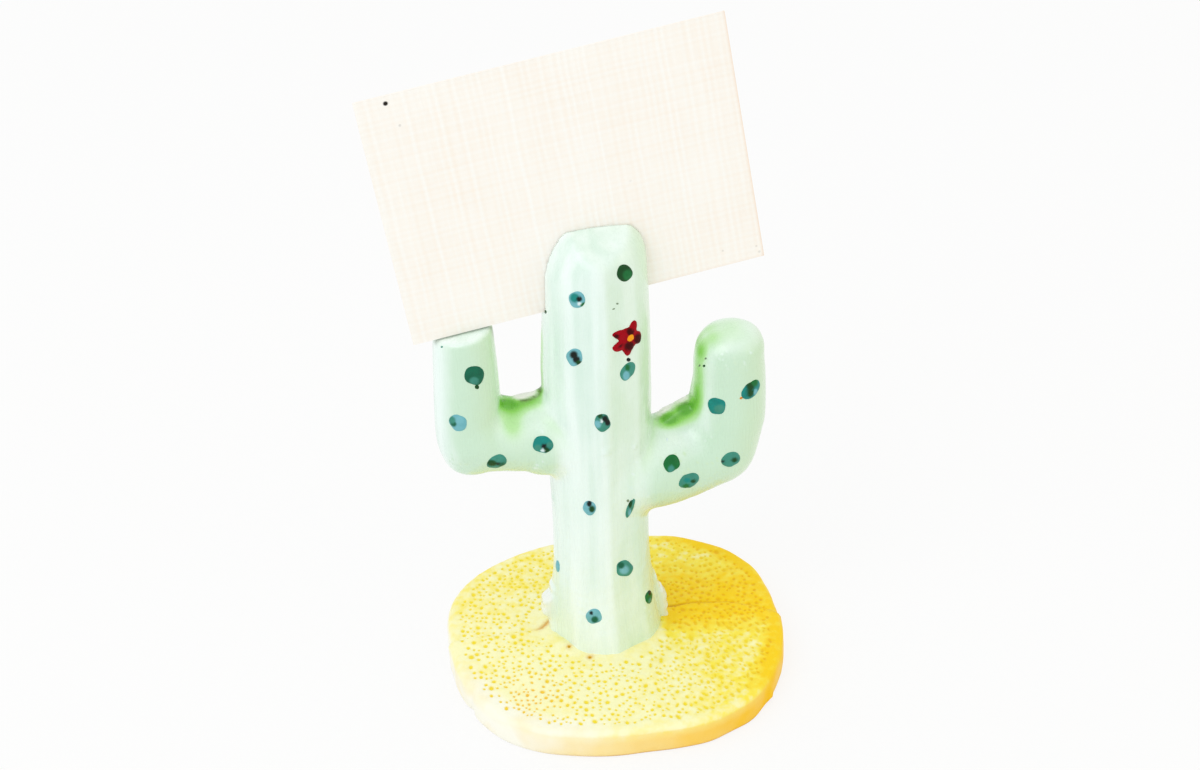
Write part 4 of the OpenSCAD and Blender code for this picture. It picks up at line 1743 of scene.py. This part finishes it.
    def _masks(self, made: bpy.types.Object, points: np.ndarray, deep: np.ndarray) -> None:
        """Keeps on the mesh how deep the yellow is, which is painted shadow and shade, and where its holes,
        side and parting line are.

        Args:
            made: The base.
            points: Its points.
            deep: How deep each lies in a hole, from 0 to 1.
        """
        x, y, z = points.T
        off = y - self.datum.part_y
        turn = np.degrees(np.arctan2(off, x))
        out = np.hypot(x, off) / self.outline_r(np.radians(turn))
        # Painted shadow and shade: deeper yellow in the trunk's cast shadow to its right, on the right rim
        # and the right of the wall, away from the key lamp, and paler towards the front.
        faded = 1 - 0.35 * ramp(12, 20, x) * ramp(4, 9, off)
        behind = faded * ramp(5, 9, x) * bell(off, 2.5, 7.6)
        before = ramp(6, 8, x) * ramp(-6.0 - 0.3 * x, -0.5, off) * (off < 3)
        rim = 1.1 * ramp(0.84, 0.97, out) * ramp(-62, -28, turn) * ramp(75, 30, turn)
        right = ramp(3, 12, x)
        rest = 0.05 + 0.1 * right + 0.16 * right * ramp(-8, -14, off) + 0.16 * ramp(2, 14, off)
        front = -0.1 * bell(x, -4, 14) * bell(off, -16, 7)
        on_top = np.maximum(np.maximum(behind, before), rim) + rest + front
        on_wall = ramp(-150, -42, turn) * ramp(90, 20, turn)
        side = 1 - ramp(self.thickness - 1.3, self.thickness - 0.55, z)
        mask(made, "depth", np.clip(on_top + side * (on_wall - on_top), 0, 1))
        # The top near the front-left rim takes the wall's paler colour.
        pale_rim = 0.85 * ramp(0.85, 0.93, out) * ramp(-172, -150, turn) * ramp(-92, -118, turn)
        mask(made, "side", np.maximum(side, pale_rim))
        mask(made, "orange", 0.6 * bell(x, -15.5, 4.5) * bell(off, -16.0, 5.0))
        mask(made, "pit", np.clip(1.15 * deep, 0, 1))
        from_trunk = x - self.datum.trunk_x
        # The parting line's dark colour is partly paint gathered in its groove and partly painted shade.
        spread = 0.2 + 0.16 * ramp(16, 9, from_trunk) + 0.2 * bell(from_trunk, -8.8, 1.6)
        seam = bell(y, self.seam(x), spread) * (z > self.thickness - 1.2)
        line = 1.1 * ramp(7, 8.5, from_trunk) * (1 - ramp(13, 22, from_trunk))
        line = line + 0.4 * ramp(13, 17, from_trunk) + bell(from_trunk, -9.0, 1.4)
        crease_and_shadow = np.clip(seam * line, 0, 0.85 - 0.15 * (from_trunk < 0))
        for stain_x, stain_y, size in self.stains:
            crease_and_shadow = np.maximum(crease_and_shadow, 0.95 * bell(np.hypot(x - stain_x, y - stain_y), 0, size))
        # Painted shadow: a dark band at the foot of the wall on the front right, where the base meets the
        # floor.
        under = 0.85 * ramp(0.25, 0.08, z) * ramp(-128, -100, turn) * ramp(-12, -30, turn)
        mask(made, "crease_and_shadow", np.clip(np.maximum(crease_and_shadow, under), 0, 1))


@dataclass
class PlaceCard:
    """The blank card, embossed on both faces.

    Attributes:
        slant: How far it is turned in its own plane, in degrees.
        pitch: Distance between the points of its mesh.
        warp: Middle distance between its upright threads.
        weft: Middle distance between its level threads.
        relief: Depth of the emboss.
        specks: Tiny marks, each a place along the lower edge and up the side, a radius and a strength.
    """

    slant: float
    pitch: float = 0.25
    warp: float = 1.05
    weft: float = 1.3
    relief: float = 0.05
    specks: tuple[tuple[float, float, float, float], ...] = (
        (4.25, 37.0, 0.34, 1.0), (5.4, 33.4, 0.2, 0.2), (45.1, 2.4, 0.18, 0.14),
        (50.2, 0.8, 0.2, 0.16), (49.9, 1.8, 0.16, 0.16), (34.2, 16.8, 0.2, 0.06))

    def __post_init__(self) -> None:
        """Works the card's corner and its size out of its box in the frame."""
        low, high = (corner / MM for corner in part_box(CARD_NODE))
        c, s = math.cos(math.radians(self.slant)), math.sin(math.radians(self.slant))
        self.width, self.height = np.linalg.solve([[c, s], [s, c]], [high.x - low.x, high.z - low.z])
        self.thickness = high.y - low.y
        self.right, self.up = np.array([c, 0, s]), np.array([-s, 0, c])
        self.corner = np.array([low.x + self.height * s, (low.y + high.y) / 2, low.z])

    @staticmethod
    def _threads(length: float, pitch: float, seed: int, at: np.ndarray) -> np.ndarray:
        """Lays threads at uneven distances.

        Args:
            length: Length of the card across them.
            pitch: Middle distance between them.
            seed: Seed of their distances.
            at: Places across them.

        Returns:
            How hollow the card is at those places, from 0 to 1.
        """
        rng = np.random.default_rng(seed)
        edges = np.cumsum(rng.uniform(0.6, 1.5, int(length / pitch) + 6) * pitch) - 2 * pitch
        phase = np.interp(at, edges, np.arange(len(edges)))
        depth = np.interp(at, edges, rng.uniform(0.35, 1.0, len(edges)))
        return depth * (0.5 + 0.5 * np.cos(2 * math.pi * phase)) ** 1.5

    def build(self) -> bpy.types.Object:
        """Makes the card as a closed mesh, with the masks of its threads and of its cut edge.

        Returns:
            The object.
        """
        nu, nv = round(self.width / self.pitch) + 1, round(self.height / self.pitch) + 1
        u, v = np.meshgrid(np.linspace(0, self.width, nu), np.linspace(0, self.height, nv), indexing="ij")
        wander = 0.25 * ripple(u, v, 0 * u, 14, 41)
        upright = 1 - self._threads(self.width, self.warp, 42, u + wander)
        level = self._threads(self.height, self.weft, 43, v + 0.25 * ripple(u, v, 0 * u, 17, 44))
        hollow = np.clip(0.75 * upright + 0.3 * level, 0, 1)
        margin = np.minimum(np.minimum(u, self.width - u), np.minimum(v, self.height - v))
        sunk = self.relief * hollow * ramp(0, 0.3, margin)
        flat = self.corner + u[..., None] * self.right + v[..., None] * self.up
        faces, points = [], []
        for face, side in ((0, -1), (1, 1)):
            sheet = flat.copy()
            sheet[..., 1] += side * (self.thickness / 2 - sunk)
            points.append(sheet.reshape(-1, 3))
            index = np.arange(nu * nv).reshape(nu, nv) + face * nu * nv
            quad = np.stack([index[:-1, :-1], index[1:, :-1], index[1:, 1:], index[:-1, 1:]], axis=-1)
            quad = quad.reshape(-1, 4)
            faces += (quad if side < 0 else quad[:, ::-1]).tolist()
        index = np.arange(nu * nv).reshape(nu, nv)
        border = np.concatenate([index[:-1, 0], index[-1, :-1], index[:0:-1, -1], index[0, :0:-1]])
        after = np.roll(border, -1)
        faces += np.stack([after, border, border + nu * nv, after + nu * nv], axis=1).tolist()
        made = mesh_object("linen_card", np.vstack(points), faces)
        made.data.set_sharp_from_angle(angle=math.radians(50))
        mask(made, "thread", np.tile(hollow.ravel(), 2))
        edge = 0.7 * ramp(0.4, 0.1, self.width - u) + 0.3 * ramp(0.4, 0.1, v) * ramp(10, 30, u)
        mask(made, "edge", np.tile(np.clip(edge, 0, 0.7).ravel(), 2))
        return made

    def marks(self) -> tuple[tuple[Triple, float, float], ...]:
        """Lays the specks on the front face.

        Returns:
            The specks, each a place, a radius and a strength.
        """
        made = []
        for u, v, radius, strength in self.specks:
            x, y, z = self.corner + u * self.right + v * self.up
            made.append(((x, y - self.thickness / 2, z), radius, strength))
        return tuple(made)


@dataclass
class Studio:
    """Floor, lamps and camera.

    Attributes:
        eye: Where the camera stands.
        elevation: How far it looks down, in degrees.
        azimuth: How far it is turned to the left, in degrees.
        roll: How far it is rolled, in degrees.
        lens: Its focal length on a sensor 36 mm wide.
    """

    eye: Triple = (-56.7, -307.35, 240.6)
    elevation: float = 31.73
    azimuth: float = -10.23
    roll: float = 1.87
    lens: float = 77.34

    def axes(self) -> tuple[np.ndarray, np.ndarray, np.ndarray]:
        """Works out how the camera is turned.

        Returns:
            Its right, up and ahead.
        """
        e, a, r = (math.radians(v) for v in (self.elevation, self.azimuth, self.roll))
        ahead = np.array([-math.sin(a) * math.cos(e), math.cos(a) * math.cos(e), -math.sin(e)])
        level = np.array([math.cos(a), math.sin(a), 0.0])
        down = np.cross(ahead, level)
        return math.cos(r) * level + math.sin(r) * down, math.sin(r) * level - math.cos(r) * down, ahead

    def camera(self) -> None:
        """Sets up the camera at the photograph's viewing angle."""
        right, up, ahead = self.axes()
        data = bpy.data.cameras.new("camera")
        data.sensor_fit, data.sensor_width, data.lens = "HORIZONTAL", 36.0, self.lens
        data.clip_start = 0.01
        made = bpy.data.objects.new("camera", data)
        axes = Matrix(np.column_stack([right, up, -ahead]).tolist())
        made.matrix_world = Matrix.Translation(Vector(self.eye) * MM) @ axes.to_4x4()
        bpy.context.scene.collection.objects.link(made)
        bpy.context.scene.camera = made

    def lamp(self, name: str, place: Triple, size: float, power: float, hue: Triple) -> None:
        """Hangs one soft lamp that faces the figure.

        Args:
            name: The lamp's name.
            place: Where it hangs, in metres.
            size: Side of its square, in metres.
            power: Its power in watts.
            hue: Its linear colour.
        """
        data = bpy.data.lights.new(name, "AREA")
        data.shape, data.size, data.energy, data.color = "SQUARE", size, power, hue
        made = bpy.data.objects.new(name, data)
        made.location = place
        made.rotation_mode = "QUATERNION"
        aim = Vector((0, 0, 0.045)) - Vector(place)
        made.rotation_quaternion = aim.to_track_quat("-Z", "Y")
        bpy.context.scene.collection.objects.link(made)

    @staticmethod
    def _unlit(sheet: Sheet) -> bpy.types.NodeSocket:
        """Tells the rays that show the backdrop from those that light the object.

        Args:
            sheet: The sheet of the floor's material or of the world.

        Returns:
            1 for rays that show it, straight, mirrored or through glass, and 0 for light.
        """
        seen = sheet.add("LightPath")
        mirrored = sheet.larger(seen.outputs["Is Glossy Ray"], seen.outputs["Is Transmission Ray"])
        return sheet.larger(seen.outputs["Is Camera Ray"], mirrored)

    def floor(self) -> None:
        """Lays a white floor, which shows the object's shadow faintly."""
        half = 3000.0
        corners = np.array([(-half, -half, 0), (half, -half, 0), (half, half, 0), (-half, half, 0)])
        made = mesh_object("floor", corners, [(0, 1, 2, 3)])
        material, sheet, skin = new_material("floor")
        sheet.feed(skin, {"Base Color": (0.9, 0.9, 0.9, 1), "Roughness": 0.9})
        glow = sheet.add("Emission", {"Color": (1, 1, 1, 1), "Strength": 1.0})
        share = sheet.times(self._unlit(sheet), 0.8)
        both = sheet.add("MixShader", {0: share, 1: skin.outputs[0], 2: glow.outputs[0]})
        end = sheet.tree.nodes["Material Output"]
        sheet.feed(end, {"Surface": both.outputs[0]})
        made.data.materials.append(material)

    def world(self) -> None:
        """Sets an even pale light all round, which is white where the camera sees it."""
        made = bpy.data.worlds.new("studio")
        bpy.context.scene.world = made
        made.use_nodes = True
        sheet = Sheet(made.node_tree)
        made.node_tree.nodes.clear()
        lit = sheet.add("Background", {"Color": (1.0, 1.0, 0.985, 1), "Strength": 0.9})
        white = sheet.add("Background", {"Color": (1, 1, 1, 1), "Strength": 1.0})
        both = sheet.add("MixShader", {0: self._unlit(sheet), 1: lit.outputs[0], 2: white.outputs[0]})
        sheet.add("OutputWorld", {"Surface": both.outputs[0]})

    def build(self) -> None:
        """Sets the scene's camera, lamps, floor and world."""
        self.camera()
        self.floor()
        self.world()
        self.lamp("key", (-0.4, -0.28, 0.5), 0.42, 0.75, (0.95, 0.99, 1.0))
        self.lamp("fill", (0.5, -0.4, 0.34), 0.4, 0.22, (1.0, 0.97, 0.7))
        bpy.context.scene.view_settings.view_transform = "Standard"


def settle_piece(made: bpy.types.Object, node: str) -> None:
    """Makes a piece ride on the part's one body and stand for its CAD node.

    Args:
        made: The piece.
        node: The node.
    """
    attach(made, BODY)
    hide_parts(node)
    LOG.info("%s: %d points, %d faces", made.name, len(made.data.vertices), len(made.data.polygons))


def main() -> None:
    """Builds the pieces in order and sets the scene."""
    logging.basicConfig(level=logging.INFO, format="%(message)s")
    studio = Studio()
    studio.build()
    datum = Datum.from_frame()
    casting = Casting(datum)
    figure = casting.build()
    dress(figure, Enamel().material())
    settle_piece(figure, FIGURE_NODE)

    dabs = Touches(casting)
    paint = Dab().material()
    gaze = tuple(tuple(axis) for axis in studio.axes())
    front = tuple(replace(touch, gaze=gaze) for touch in FRONT_TOUCHES)
    spots = dabs.build("paint_spots", front + back_touches(casting, 17), 11)
    flower = dabs.build("flower", tuple(replace(touch, gaze=gaze) for touch in FLOWER_TOUCHES), 12)
    petal_paint = Dab(name="petal_paint", specular=0.05, coat=0.05).material()
    for made, finish in ((spots, paint), (flower, petal_paint)):
        dress(made, finish)
        settle_piece(made, FIGURE_NODE)

    base = SandBase(datum, casting.base_t, casting.foot_r).build()
    dress(base, Sand().material())
    settle_piece(base, FIGURE_NODE)

    card = PlaceCard(casting.slot_slant)
    made = card.build()
    dress(made, Linen().material(math.radians(card.slant), card.marks()))
    settle_piece(made, CARD_NODE)


if __name__ == "__main__":
    main()
